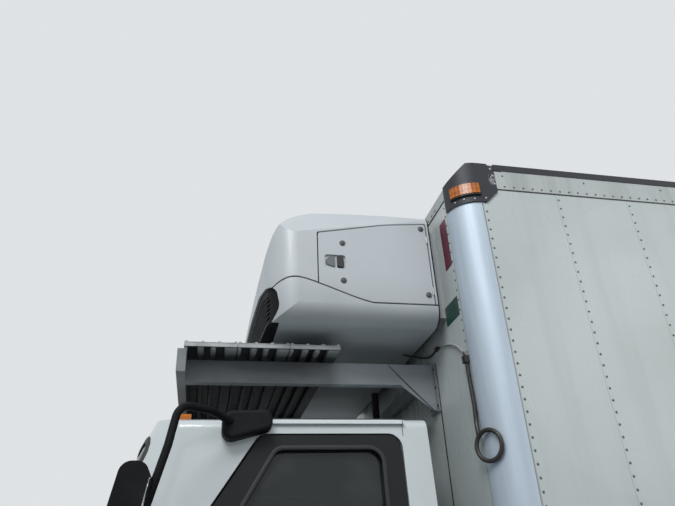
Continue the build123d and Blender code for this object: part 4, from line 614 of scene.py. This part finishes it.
planks, plank_shader, place = surface("dull_aluminium", {"Metallic": 0.35})
downward = 1 - place.node("ShaderNodeNewGeometry", out="Normal").axis(2).smooth(-0.7, -0.2)
across = abs(place.axis(1))
weather = place.stretched(6, 1.5, 6).noise(2.2, 5).smooth(0.4, 0.8)
lit = weather.blend(PLANK_LIGHT, PLANK_WEATHERED)
# Painted shade: faces below the top sheet, the ribs' sides and the downward faces are coloured near
# black as if the sheet shaded them, lighter towards the plank ends.
shade_below_top = (place.axis(2) < PLANK_TOP_Z - 0.003) * (1 - across.smooth(0.70, 0.79) * 0.6)
between = shade_below_top * (across < PLANK_HALF - 0.003)
shade_under_sheet = downward * (place.axis(2) > PLANK_FOOT_Z + 0.012)
painted_shade = downward * shade_below_top | between | shade_under_sheet
painted_shade.blend(lit, PLANK_PAINTED_SHADE).to(plank_shader, "Base Color")
(0.42 + place.noise(35, 3) * 0.25).to(plank_shader, "Roughness")
place.stretched(20, 2, 20).noise(6, 3).bump(plank_shader, 0.0006, 0.4)

deck = bmesh.new()
buttons = []
for plank in range(PLANKS):
    x = PLANK_BACK_X + plank * PLANK_PITCH
    low_z = PLANK_TOP_Z - SHEET
    bar(deck, (x, -PLANK_HALF, low_z), (x + PLANK_WIDTH, PLANK_HALF, PLANK_TOP_Z))
    for side in (-1, 1):
        near, far = sorted((side * (PLANK_HALF - STRIP), side * PLANK_HALF))
        bar(deck, (x, near, STRIP_LOW_Z), (x + PLANK_WIDTH, far, low_z))
    for left, right in RIBS:
        foot = (x + left, -PLANK_HALF + RIB_END, PLANK_FOOT_Z)
        bar(deck, foot, (x + right, PLANK_HALF - RIB_END, low_z))
    for row in range(RIDGES):
        ridge_x = x + RIDGE_EDGE + row * RIDGE_GAP
        ends = []
        for y in (-PLANK_HALF + RIDGE_END, PLANK_HALF - RIDGE_END):
            end = []
            for k in range(RIDGE_STEPS + 1):
                angle = k * math.pi / RIDGE_STEPS
                a = ridge_x + RIDGE_HALF * math.cos(angle)
                b = PLANK_TOP_Z + RIDGE_HEIGHT * math.sin(angle)
                end.append(deck.verts.new((a, y, b)))
            ends.append(end)
        band(deck, *ends)
        deck.faces.new(ends[0])
        deck.faces.new(list(reversed(ends[1])))
    for row in range(RIDGES - 1):
        button_x = x + RIDGE_EDGE + (row + 0.5) * RIDGE_GAP
        for step in range(BUTTONS):
            button_y = -PLANK_HALF + BUTTON_START + step * BUTTON_PITCH
            buttons.append(((button_x, button_y, PLANK_TOP_Z), (0, 0, 1)))
deck_piece = closed("catwalk_planks", deck, "chassis", planks)
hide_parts("platform_deck")
heads("plank_buttons", buttons, "chassis", "aluminium_plank", planks, **BUTTON)


# Catwalk arms.
# Two folded aluminium arms bolted to plates on the front wall, each with a triangular gusset,
# a line of dark sealant down its foot and six bolts through the wall.

ARM_FACE_Y = 0.656
GUSSET = ((2.352, 2.5175), (2.1185, 2.5175), (2.1185, 2.288), (2.134, 2.288))
GUSSET_EDGE = ((2.349, 2.514), (2.240, 2.396), (2.135, 2.290))
GUSSET_THICK = 0.004
FOOT_SEAL_Y = 0.690
FOOT_SEAL_Z = (2.518, 2.40, 2.276, 2.20, 2.05, 1.80)
FOOT_PLATE = 0.008
FOOT_BOLT_Y = (0.585, 0.675)
FOOT_BOLT_Z = (2.31, 2.40, 2.49)
FOOT_BOLT = {"radius": 0.009, "height": 0.006, "sides": 6}
ARM_LIGHT = (0.30, 0.33, 0.35, 1)
ARM_DARK = (0.10, 0.107, 0.112, 1)

arms, arm_shader, place = surface("arm_aluminium", {"Metallic": 0.25})
weather = place.stretched(1, 5, 4).noise(2, 5).smooth(0.45, 0.8)
# Painted shadow: forward of x 2.58–2.66 the arms are darkened where the planks above shade them; the
# rest of the variation is weathering.
weathering_and_plank_shadow = weather * 0.35 + place.axis(0).smooth(2.58, 2.66) * 0.6
weathering_and_plank_shadow.blend(ARM_LIGHT, ARM_DARK).to(arm_shader, "Base Color")
(0.4 + place.noise(25, 3) * 0.25).to(arm_shader, "Roughness")
place.stretched(3, 20, 20).noise(5, 3).bump(arm_shader, 0.0005, 0.4)
dress(arms, "platform_arms")

gussets = bmesh.new()
edge_lines = bmesh.new()
foot_bolts = []
for side in (-1, 1):
    out = (0, side, 0)
    ring = [(x, side * ARM_FACE_Y, z) for x, z in GUSSET]
    plate(gussets, ring, out, thick=GUSSET_THICK, chamfer=0.001)
    slope_y = side * (ARM_FACE_Y + GUSSET_THICK * 0.8)
    slope = [((x, slope_y, z), out) for x, z in GUSSET_EDGE]
    bead(edge_lines, slope, width=0.004, height=0.001, ring=False)
    foot = [((FRONT_WALL_X, side * FOOT_SEAL_Y, z), (1, 0, 0)) for z in FOOT_SEAL_Z]
    bead(edge_lines, foot, width=0.007, height=0.004, ring=False)
    for z in FOOT_BOLT_Z:
        for y in FOOT_BOLT_Y:
            foot_bolts.append(((FRONT_WALL_X + FOOT_PLATE, side * y, z), (1, 0, 0)))
closed("catwalk_gussets", gussets, "chassis", arms)
closed("catwalk_sealant", edge_lines, "chassis", matt_black)
heads("catwalk_bolts", foot_bolts, "chassis", "steel", bolt_steel, **FOOT_BOLT)


# Cab body.
# Pressed steel in gloss white, with door gaps, a rain gutter over each door and a slight
# unevenness of the panels; road film gathers below the belt.

CAB_WHITE = (0.56, 0.62, 0.635, 1)
CAB_FILM = (0.40, 0.41, 0.40, 1)
FRAME_BLACK = (0.010, 0.011, 0.013, 1)
FRAME_LOW_Z = 1.392
CAB_SEAM_X = 2.4065
CAB_SEAM_HALF = 0.0016
CAB_SEAM_LOW_Z = 2.10


def road_film(place):
    """How thick the road film lies on the cab: mottled, and heavier below the belt."""
    low = 1 - place.axis(2).smooth(0.6, 1.5)
    return place.noise(2.4, 5).smooth(0.35, 0.8) * (0.15 + low * 0.6)


cab_paint, cab_shader, place = surface("cab_paint", {"Coat Weight": 0.6, "Coat Roughness": 0.08})
film = road_film(place)
pressed = (abs(place.axis(0) - CAB_SEAM_X) < CAB_SEAM_HALF) * (place.axis(2) > CAB_SEAM_LOW_Z)
pressed.blend(film.blend(CAB_WHITE, CAB_FILM), (0.02, 0.02, 0.022, 1)).to(cab_shader, "Base Color")
(0.22 + film * 0.4).to(cab_shader, "Roughness")
place.noise(2.0, 2).bump(cab_shader, 0.003, 0.3)
dress(cab_paint, "cab_shell", "front_bumper")

door_plain = {"Specular IOR Level": 0.25, "Coat Roughness": 0.08}
door_paint, door_shader, place = surface("cab_door_paint", door_plain)
film = road_film(place)
window_frame = place.axis(2) > FRAME_LOW_Z
window_frame.blend(film.blend(CAB_WHITE, CAB_FILM), FRAME_BLACK).to(door_shader, "Base Color")
(0.22 + film * 0.4 + window_frame * 0.2).to(door_shader, "Roughness")
(0.6 - window_frame * 0.6).to(door_shader, "Coat Weight")
place.noise(2.0, 2).bump(door_shader, 0.003, 0.3)
dress(door_paint, "cab_door_left", "cab_door_right")


# Rubber seals and wipers.
# Black rubber round the bonded windscreen, the door windows and the rear doors, a line of
# sealant under the gutter, and two wipers parked low on the windscreen.

CAB_HALF_WIDTH = 1.0
BELT_Z = 1.35
SIDE_LEAN = 0.05 / 0.82
FRONT_LEAN = 0.465
SCREEN_CURVE = 3.75
SCREEN_CENTRE_X = 0.155
SCREEN_FLAT_HALF = 0.76
CORNER_CURVE = 0.3
CORNER_CENTRE = (3.533, 0.70)


def side_y(z):
    """Half the cab's width at a height."""
    return CAB_HALF_WIDTH - SIDE_LEAN * max(0.0, z - BELT_Z)


def front_x(y, z):
    """How far forward the cab's front stands at a place across and up."""
    across = abs(y)
    if across < SCREEN_FLAT_HALF:
        x = SCREEN_CENTRE_X + math.sqrt(SCREEN_CURVE ** 2 - across ** 2)
    else:
        reach = CORNER_CURVE ** 2 - (across - CORNER_CENTRE[1]) ** 2
        x = CORNER_CENTRE[0] + math.sqrt(max(0.0, reach))
    return x - FRONT_LEAN * max(0.0, z - BELT_Z)


def front_spot(y, z, proud=0.0):
    """A place on the cab's front, and the way straight out of it."""
    step = 0.004
    here = Vector((front_x(y, z), y, z))
    right = Vector((front_x(y + step, z), y + step, z)) - here
    above = Vector((front_x(y, z + step), y, z + step)) - here
    out = right.cross(above).normalized()
    return here + out * proud, out


def filled(points, step):
    """The closed outline with points added, so that none lie further apart than step."""
    full = []
    for a, b in zip(points, points[1:] + points[:1]):
        count = max(1, int((b - a).length / step))
        for k in range(count):
            full.append(a.lerp(b, k / count))
    return full


rubber, rubber_shader, place = surface("black_rubber", {"Coat Weight": 0.0})
bloom = place.noise(5, 5).smooth(0.4, 0.8)
bloom.blend((0.008, 0.008, 0.009, 1), (0.028, 0.028, 0.028, 1)).to(rubber_shader, "Base Color")
(0.55 + bloom * 0.25).to(rubber_shader, "Roughness")
place.noise(120, 2).bump(rubber_shader, 0.0004, 0.4)

SCREEN = ((-0.905, 1.420, 0.07), (0.905, 1.420, 0.07), (0.860, 2.125, 0.09), (-0.860, 2.125, 0.09))
WINDOW = ((2.500, 1.420, 0.05), (3.330, 1.420, 0.04), (2.945, 2.055, 0.05), (2.500, 2.055, 0.06))
REAR_SEAL = ((0.012, 1.085, 0.02), (1.110, 1.085, 0.02), (1.110, 3.231, 0.02), (0.012, 3.231, 0.02))
REAR_FACE_X = -3.990
GUTTER_X = (2.402, 2.60, 2.80, 2.96)
GUTTER_Y = 0.9515
GUTTER_Z = 2.1705
WIPERS = (((0.62, 1.405), (0.02, 1.60)), ((-0.12, 1.405), (-0.74, 1.60)))
WIPER_STEPS = 8
BLADE_SHIFT = (-0.12, 0.055)

seal = bmesh.new()
path = [front_spot(y, z) for y, z in filled(rounded(SCREEN), 0.05)]
bead(seal, path, width=0.030, height=0.005)
closed("windscreen_seal", seal, "chassis", rubber, smooth=True)
for side, body in ((1, "cab_door_left"), (-1, "cab_door_right")):
    seal = bmesh.new()
    out = (0, side, SIDE_LEAN)
    path = [((x, side * side_y(z), z), out) for x, z in filled(rounded(WINDOW), 0.08)]
    bead(seal, path, width=0.020, height=0.004)
    closed(body + "_window_seal", seal, body, rubber, smooth=True)
for side, body in ((1, "box_door_left"), (-1, "box_door_right")):
    seal = bmesh.new()
    path = [((REAR_FACE_X, side * y, z), (-1, 0, 0)) for y, z in rounded(REAR_SEAL)]
    bead(seal, path, width=0.022, height=0.006)
    closed(body + "_seal", seal, body, rubber, smooth=True)

gutter_line = bmesh.new()
for side in (-1, 1):
    path = [((x, side * GUTTER_Y, GUTTER_Z), (0, side, 0.3)) for x in GUTTER_X]
    bead(gutter_line, path, width=0.005, height=0.004, ring=False)
closed("roof_joint_sealant", gutter_line, "chassis", rubber)

wipers = bmesh.new()
for pivot, tip in WIPERS:
    arm = []
    blade = []
    for k in range(WIPER_STEPS + 1):
        y = pivot[0] + (tip[0] - pivot[0]) * k / WIPER_STEPS
        z = pivot[1] + (tip[1] - pivot[1]) * k / WIPER_STEPS
        arm.append(front_spot(y, z, proud=0.016))
        blade.append(front_spot(y + BLADE_SHIFT[0], z + BLADE_SHIFT[1], proud=0.006))
    bead(wipers, arm, width=0.012, height=0.008, ring=False)
    bead(wipers, blade, width=0.010, height=0.014, ring=False)
closed("windscreen_wipers", wipers, "chassis", matt_black)


# Mirror glass.
# Flat silvered glass glued into the rear face of each mirror's black housing.

MIRROR_LOW = Vector((3.462, 0, 1.500))
MIRROR_HIGH = Vector((3.385, 0, 1.930))
MIRROR = ((1.232, 0.045, 0.03), (1.378, 0.045, 0.03), (1.378, 0.392, 0.03), (1.232, 0.392, 0.03))

silver = speckled(
    "mirror_silver", {"Metallic": 1.0}, ((0.70, 0.72, 0.74, 1), (0.60, 0.62, 0.64, 1)),
    (3, 2), (0.04, 0.05), (8, 3),
)
mirror_way = (MIRROR_HIGH - MIRROR_LOW).normalized()
mirror_out = Vector((-mirror_way.z, 0, mirror_way.x))
mirrors = bmesh.new()
for side in (-1, 1):
    ring = [MIRROR_LOW + mirror_way * up + Vector((0, side * y, 0)) for y, up in rounded(MIRROR)]
    plate(mirrors, ring, mirror_out, thick=0.003, chamfer=0.001)
closed("mirror_glass", mirrors, "chassis", silver)


# Cab glass.
# Green-grey laminated windscreen and toughened door and rear glass, with a thin smear of dust.

glass, glass_shader, place = surface("tinted_glass", {"Roughness": 0.04, "Metallic": 0.0})
smear = place.noise(6, 4).smooth(0.45, 0.8)
smear.blend((0.018, 0.023, 0.024, 1), (0.035, 0.04, 0.04, 1)).to(glass_shader, "Base Color")
(0.03 + smear * 0.05).to(glass_shader, "Roughness")
(0.82 + smear * 0.06).to(glass_shader, "Alpha")
dress(glass, "cab_glass", "door_glass_left", "door_glass_right")


# Lamps at the front and rear.
# Clear moulded headlamp units with upright ribs, let into the cab's front, and ribbed round
# red tail lamps in the foot of the rear frame.

clear, clear_shader, place = surface("clear_lamp", {"Coat Weight": 0.8})
cells = place.axis(1).every(0.03).smooth(0, 0.015)
cells.blend((0.35, 0.36, 0.38, 1), (0.7, 0.72, 0.75, 1)).to(clear_shader, "Base Color")
(0.1 + place.noise(20, 2) * 0.1).to(clear_shader, "Roughness")
dress(clear, "headlamps")

red, red_shader, place = surface("red_lens", {"Roughness": 0.2, "Coat Weight": 0.5})
rings = place.axis(2).every(0.008)
rings.smooth(0, 0.004).blend((0.25, 0.005, 0.006, 1), (0.6, 0.02, 0.02, 1)).to(red_shader, "Base Color")
rings.bump(red_shader, 0.001, 0.5)
dress(red, "tail_lamps")


# Chassis, axles and springs.
# Black chassis paint over hot-rolled steel, dulled by road dust that lies thickest on the
# upper faces and low down.

CHASSIS_BLACK = (0.018, 0.018, 0.02, 1)
ROAD_DUST = (0.16, 0.145, 0.12, 1)

underneath, under_shader, place = surface("chassis_black", {"Metallic": 0.1})
upward = place.node("ShaderNodeNewGeometry", out="Normal").axis(2).smooth(0.2, 1.0)
dusty = place.noise(3.5, 6).smooth(0.35, 0.8) * 0.5 + upward * 0.3
dusty.blend(CHASSIS_BLACK, ROAD_DUST).to(under_shader, "Base Color")
(0.4 + dusty * 0.4).to(under_shader, "Roughness")
place.noise(60, 3).bump(under_shader, 0.0012, 0.5)
dress(
    underneath, "chassis_rails", "crossmembers", "front_axle", "rear_axle", "leaf_springs", "propshaft",
    "track_rod", "knuckle_left", "knuckle_right", "engine_block", "underride_guard", "towing_eye",
)


# Rims and tyres.
# Steel disc wheels in silver paint with dust round the hub, and road tyres whose tread is a
# pattern of straight grooves with cross cuts at the shoulders.

rims, rim_shader, place = surface("wheel_silver", {"Metallic": 0.5})
grime = place.noise(7, 5).smooth(0.4, 0.8)
grime.blend((0.55, 0.56, 0.57, 1), (0.25, 0.22, 0.18, 1)).to(rim_shader, "Base Color")
(0.35 + grime * 0.4).to(rim_shader, "Roughness")
place.noise(90, 2).bump(rim_shader, 0.0005, 0.4)
dress(rims, "front_rim_left", "front_rim_right", "rear_rims_left", "rear_rims_right")

TREAD_GROOVE = 0.042
CUT_ANGLE = math.radians(5)
TYRE_EDGE = 0.385
AXLE_Z = 0.405
SHOULDER = 0.066
FRONT_AXLE = (2.93, 0.840)
REAR_AXLE = (-1.54, 0.832)


def tyre_rubber(name, axle_x, middle_y):
    """Rubber with grooves that run round the tyre and short cuts across each shoulder."""
    material, shader, place = surface(name, {"Metallic": 0.0})
    x = place.axis(0) - axle_x
    z = place.axis(2) - AXLE_Z
    radius = (x * x + z * z) ** 0.5
    turn = place.maths("ARCTAN2", z, x)
    outer = radius.smooth(TYRE_EDGE, TYRE_EDGE + 0.006)
    off_centre = abs(abs(place.axis(1)) - middle_y)
    groove = 1 - off_centre.every(TREAD_GROOVE, TREAD_GROOVE / 2).smooth(0.0035, 0.0055)
    cut = (1 - turn.every(CUT_ANGLE).smooth(0.004, 0.007)) * (off_centre > SHOULDER)
    tread = outer * (groove | cut)
    wall_rings = (1 - radius.every(0.034, 0.012).smooth(0.0006, 0.0012)) * (1 - outer)
    dust = place.noise(9, 5).smooth(0.35, 0.8)
    tone = (dust * 0.7).blend((0.012, 0.012, 0.013, 1), (0.065, 0.06, 0.052, 1))
    tread.blend(tone, (0.004, 0.004, 0.004, 1)).to(shader, "Base Color")
    (0.62 + dust * 0.25).to(shader, "Roughness")
    (1 - tread + wall_rings * 0.12 + place.noise(160, 2) * 0.03).bump(shader, 0.009, 1.0)
    return material


front_rubber = tyre_rubber("front_tyre_rubber", *FRONT_AXLE)
dress(front_rubber, "front_tyre_left", "front_tyre_right")
rear_rubber = tyre_rubber("rear_tyre_rubber", *REAR_AXLE)
dress(rear_rubber, "rear_tyres_left", "rear_tyres_right")


# Tanks, exhaust, rear frame, box doors and fascia.
# Brushed aluminium tanks and a rust-mottled steel exhaust hung from the rails, a bare metal
# rear frame and floor, box doors of the walls' laminate, and a grained grey fascia in the cab.

tank, tank_shader, place = surface("tank_aluminium", {"Metallic": 0.8})
brushed = place.stretched(2, 40, 40).noise(4, 4)
(brushed * 0.5).blend((0.58, 0.59, 0.60, 1), (0.40, 0.41, 0.42, 1)).to(tank_shader, "Base Color")
(0.3 + brushed * 0.2).to(tank_shader, "Roughness")
brushed.bump(tank_shader, 0.0004, 0.4)
dress(tank, "fuel_tanks", "rear_frame", "box_floor")

pipe, pipe_shader, place = surface("exhaust_steel", {"Metallic": 0.7})
rust = place.noise(5, 6).smooth(0.4, 0.75)
rust.blend((0.30, 0.28, 0.26, 1), (0.16, 0.07, 0.03, 1)).to(pipe_shader, "Base Color")
(0.45 + rust * 0.35).to(pipe_shader, "Roughness")
dress(pipe, "exhaust")
dress(walls, "box_door_left", "box_door_right")

fascia, fascia_shader, place = surface("grey_fascia", {"Metallic": 0.0})
pebble = place.noise(260, 2)
(pebble * 0.3).blend((0.05, 0.052, 0.056, 1), (0.09, 0.092, 0.098, 1)).to(fascia_shader, "Base Color")
(0.5 + pebble * 0.2).to(fascia_shader, "Roughness")
pebble.bump(fascia_shader, 0.0006, 0.6)
dress(fascia, "dashboard")


# Seats.
# Foam cushions and backs in a ribbed cloth cover, sewn in upright channels, on the two seat
# bases; the passenger side is a double seat.

cloth, cloth_shader, place = surface("seat_cloth", {"Roughness": 0.9, "Sheen Weight": 0.3})
weave = abs(place.axis(0).every(0.003) - place.axis(1).every(0.003)) * 300
weave.blend((0.03, 0.033, 0.04, 1), (0.075, 0.08, 0.09, 1)).to(cloth_shader, "Base Color")
weave.bump(cloth_shader, 0.0006, 0.5)

CUSHION_GRID = 26
CHANNEL_PITCH = 0.085
CHANNEL_HALF = 0.012
ROUNDING = 6
SEATS = ((0.49, 0.48), (-0.33, 0.96))


def cushion(shell, centre, size, tilt):
    """A padded block, rounded on every side, crowned, and sewn in channels side by side."""
    low = len(shell.verts)
    made = bmesh.ops.create_cube(shell, size=2)["verts"]
    edges = {edge for vert in made for edge in vert.link_edges}
    bmesh.ops.subdivide_edges(shell, edges=list(edges), cuts=CUSHION_GRID, use_grid_fill=True)
    shell.verts.ensure_lookup_table()
    turn = Matrix.Rotation(tilt, 3, "Y")
    thin = min(range(3), key=lambda i: size[i])
    for vert in list(shell.verts)[low:]:
        u = Vector(vert.co)
        reach = sum(abs(c) ** ROUNDING for c in u) ** (1 / ROUNDING)
        u = u / reach * max(abs(c) for c in u)
        full = Vector([c * s / 2 for c, s in zip(u, size)])
        crown = (1 - u[thin - 1] ** 2) * (1 - u[thin - 2] ** 2)
        from_seam = abs(full.y % CHANNEL_PITCH - CHANNEL_PITCH / 2)
        seam = max(0.0, 1 - from_seam / CHANNEL_HALF)
        full[thin] *= 0.86 + 0.14 * crown - 0.10 * seam * abs(u[thin])
        vert.co = Vector(centre) + turn @ full


seats = bmesh.new()
for middle_y, width in SEATS:
    cushion(seats, centre=(2.78, middle_y, 1.10), size=(0.50, width, 0.15), tilt=-0.05)
    cushion(seats, centre=(2.455, middle_y, 1.42), size=(0.11, width, 0.62), tilt=-0.147)
seat_piece = closed("seat_cushions", seats, "chassis", cloth, smooth=True)
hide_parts("seats")


# Hose and cables in front of the box.
# A corrugated drain hose and a cable loom in black covering, tied at the corner post, and one
# bare grey cable that bows from the front wall to the post.

TIE_SPOTS = ((1.074, 2.33), (1.077, 2.25), (1.080, 2.17))
TIE_STEPS = 12
TIE_RADIUS = 0.0086
LOOM_X = 2.1193
HOSE_RIB = 0.016
GREY_CABLE_Y = (0.80, 1.045)
GREY_CABLE_LOW_Z = 2.44

lines_black, lines_shader, place = surface("cable_covering", {"Coat Weight": 0.1})
across = place.axis(1)
grey_cable = (across > GREY_CABLE_Y[0]) * (across < GREY_CABLE_Y[1]) * (place.axis(2) > GREY_CABLE_LOW_Z)
dust = place.noise(14, 4).smooth(0.35, 0.75)
covering = dust.blend((0.010, 0.009, 0.009, 1), (0.040, 0.030, 0.028, 1))
grey_cable.blend(covering, (0.30, 0.31, 0.32, 1)).to(lines_shader, "Base Color")
(0.42 + dust * 0.3).to(lines_shader, "Roughness")
corrugated = (across < 0) * place.axis(2).every(HOSE_RIB).smooth(0.0, 0.006)
(corrugated + place.noise(90, 2) * 0.1).bump(lines_shader, 0.003, 0.8)
dress(lines_black, "service_lines")

ties = bmesh.new()
for y, z in TIE_SPOTS:
    path = []
    for k in range(TIE_STEPS):
        angle = 2 * math.pi * k / TIE_STEPS
        out = Vector((math.cos(angle), math.sin(angle), 0))
        path.append((Vector((LOOM_X, y, z)) + out * TIE_RADIUS, out))
    bead(ties, path, width=0.005, height=0.0016)
closed("cable_ties", ties, "chassis", matt_black)


# Floor, light and camera.
# A plain pale floor that fades into the pale surroundings, three soft lamps, and the camera
# beside the cab door at the height of a raised hand, looking up at the cooling unit.

FLOOR_TONE = (0.34, 0.35, 0.36, 1)
SEEN_TONE = (0.84, 0.85, 0.85, 1)
SEEN_DULL = (0.78, 0.79, 0.79, 1)
SKY_TONE = (0.90, 0.93, 0.95, 1)
FLOOR_HALF = 60
HAZE_NEAR = 5.0
HAZE_FAR = 19.0
HAZE_LEAST = 0.42
PLAIN_STRENGTH = 0.42
SEEN_STRENGTH = 0.82
CAMERA_PLACE = (3.233, 3.439, 1.549)
CAMERA_RIGHT = (-0.97804541, 0.2029457, -0.04733094)
CAMERA_DOWN = (-0.05868274, -0.48615135, -0.87190206)
CAMERA_AHEAD = (-0.19995878, -0.8499823, 0.4873875)
LENS = 32.05
SENSOR = 36

ground = bpy.data.meshes.new("studio_floor")
corners = [(-FLOOR_HALF, -FLOOR_HALF, 0), (FLOOR_HALF, -FLOOR_HALF, 0)]
corners += [(FLOOR_HALF, FLOOR_HALF, 0), (-FLOOR_HALF, FLOOR_HALF, 0)]
ground.from_pydata(corners, [], [(0, 1, 2, 3)])
pale, pale_shader, place = surface("studio_floor", {"Roughness": 0.8, "Specular IOR Level": 0.2})
tree = pale.node_tree
seen = Wire(tree).node("ShaderNodeLightPath", out="Is Camera Ray")
seen_tone = (place.noise(0.7, 2) * 0.15).blend(SEEN_TONE, SEEN_DULL)
seen.blend(FLOOR_TONE, seen_tone).to(pale_shader, "Base Color")
away = (place.axis(0) ** 2 + place.axis(1) ** 2) ** 0.5
haze = seen * (HAZE_LEAST + away.smooth(HAZE_NEAR, HAZE_FAR) * (1 - HAZE_LEAST))
glow = Wire(tree).node("ShaderNodeEmission", inputs={"Color": SKY_TONE, "Strength": SEEN_STRENGTH})
lit = Wire(tree, pale_shader.outputs["BSDF"])
mixed = Wire(tree).node("ShaderNodeMixShader", inputs={0: haze, 1: lit, 2: glow})
mixed.to(tree.nodes["Material Output"], "Surface")
ground.materials.append(pale)
floor = bpy.data.objects.new("studio_floor", ground)
bpy.context.scene.collection.objects.link(floor)

world = bpy.data.worlds.new("studio_sky")
bpy.context.scene.world = world
world.use_nodes = True
sky = world.node_tree.nodes["Background"]
sky.inputs["Color"].default_value = SKY_TONE
tree = world.node_tree
straight = Wire(tree).node("ShaderNodeLightPath", out="Is Camera Ray")
mirrored = Wire(tree).node("ShaderNodeLightPath", out="Is Glossy Ray")
through = Wire(tree).node("ShaderNodeLightPath", out="Is Transmission Ray")
lifted = (straight | mirrored | through) * (SEEN_STRENGTH - PLAIN_STRENGTH)
(lifted + PLAIN_STRENGTH).to(sky, "Strength")


def lamp(name, place, aim, size, power):
    """A round soft lamp at a place, turned to a point on the truck."""
    light = bpy.data.lights.new(name, "AREA")
    light.shape = "DISK"
    light.size = size
    light.energy = power
    thing = bpy.data.objects.new(name, light)
    bpy.context.scene.collection.objects.link(thing)
    thing.location = place
    thing.rotation_mode = "QUATERNION"
    thing.rotation_quaternion = (Vector(aim) - Vector(place)).to_track_quat("-Z", "Y")


lamp("key_light", (6.0, 8.0, 10.5), aim=(1.5, 0.5, 2.2), size=6.0, power=950)
lamp("fill_light", (-7.0, 10.0, 6.0), aim=(-1.0, 0.5, 1.8), size=7.0, power=200)
lamp("back_light", (0.0, -11.0, 9.0), aim=(0.5, 0, 2.0), size=7.0, power=450)

view = bpy.data.cameras.new("photo_camera")
view.sensor_width = SENSOR
view.lens = LENS
camera = bpy.data.objects.new("photo_camera", view)
bpy.context.scene.collection.objects.link(camera)
turn = Matrix((CAMERA_RIGHT, [-c for c in CAMERA_DOWN], [-c for c in CAMERA_AHEAD])).transposed()
camera.matrix_world = Matrix.Translation(CAMERA_PLACE) @ turn.to_4x4()
bpy.context.scene.camera = camera
bpy.context.scene.view_settings.view_transform = "Standard"
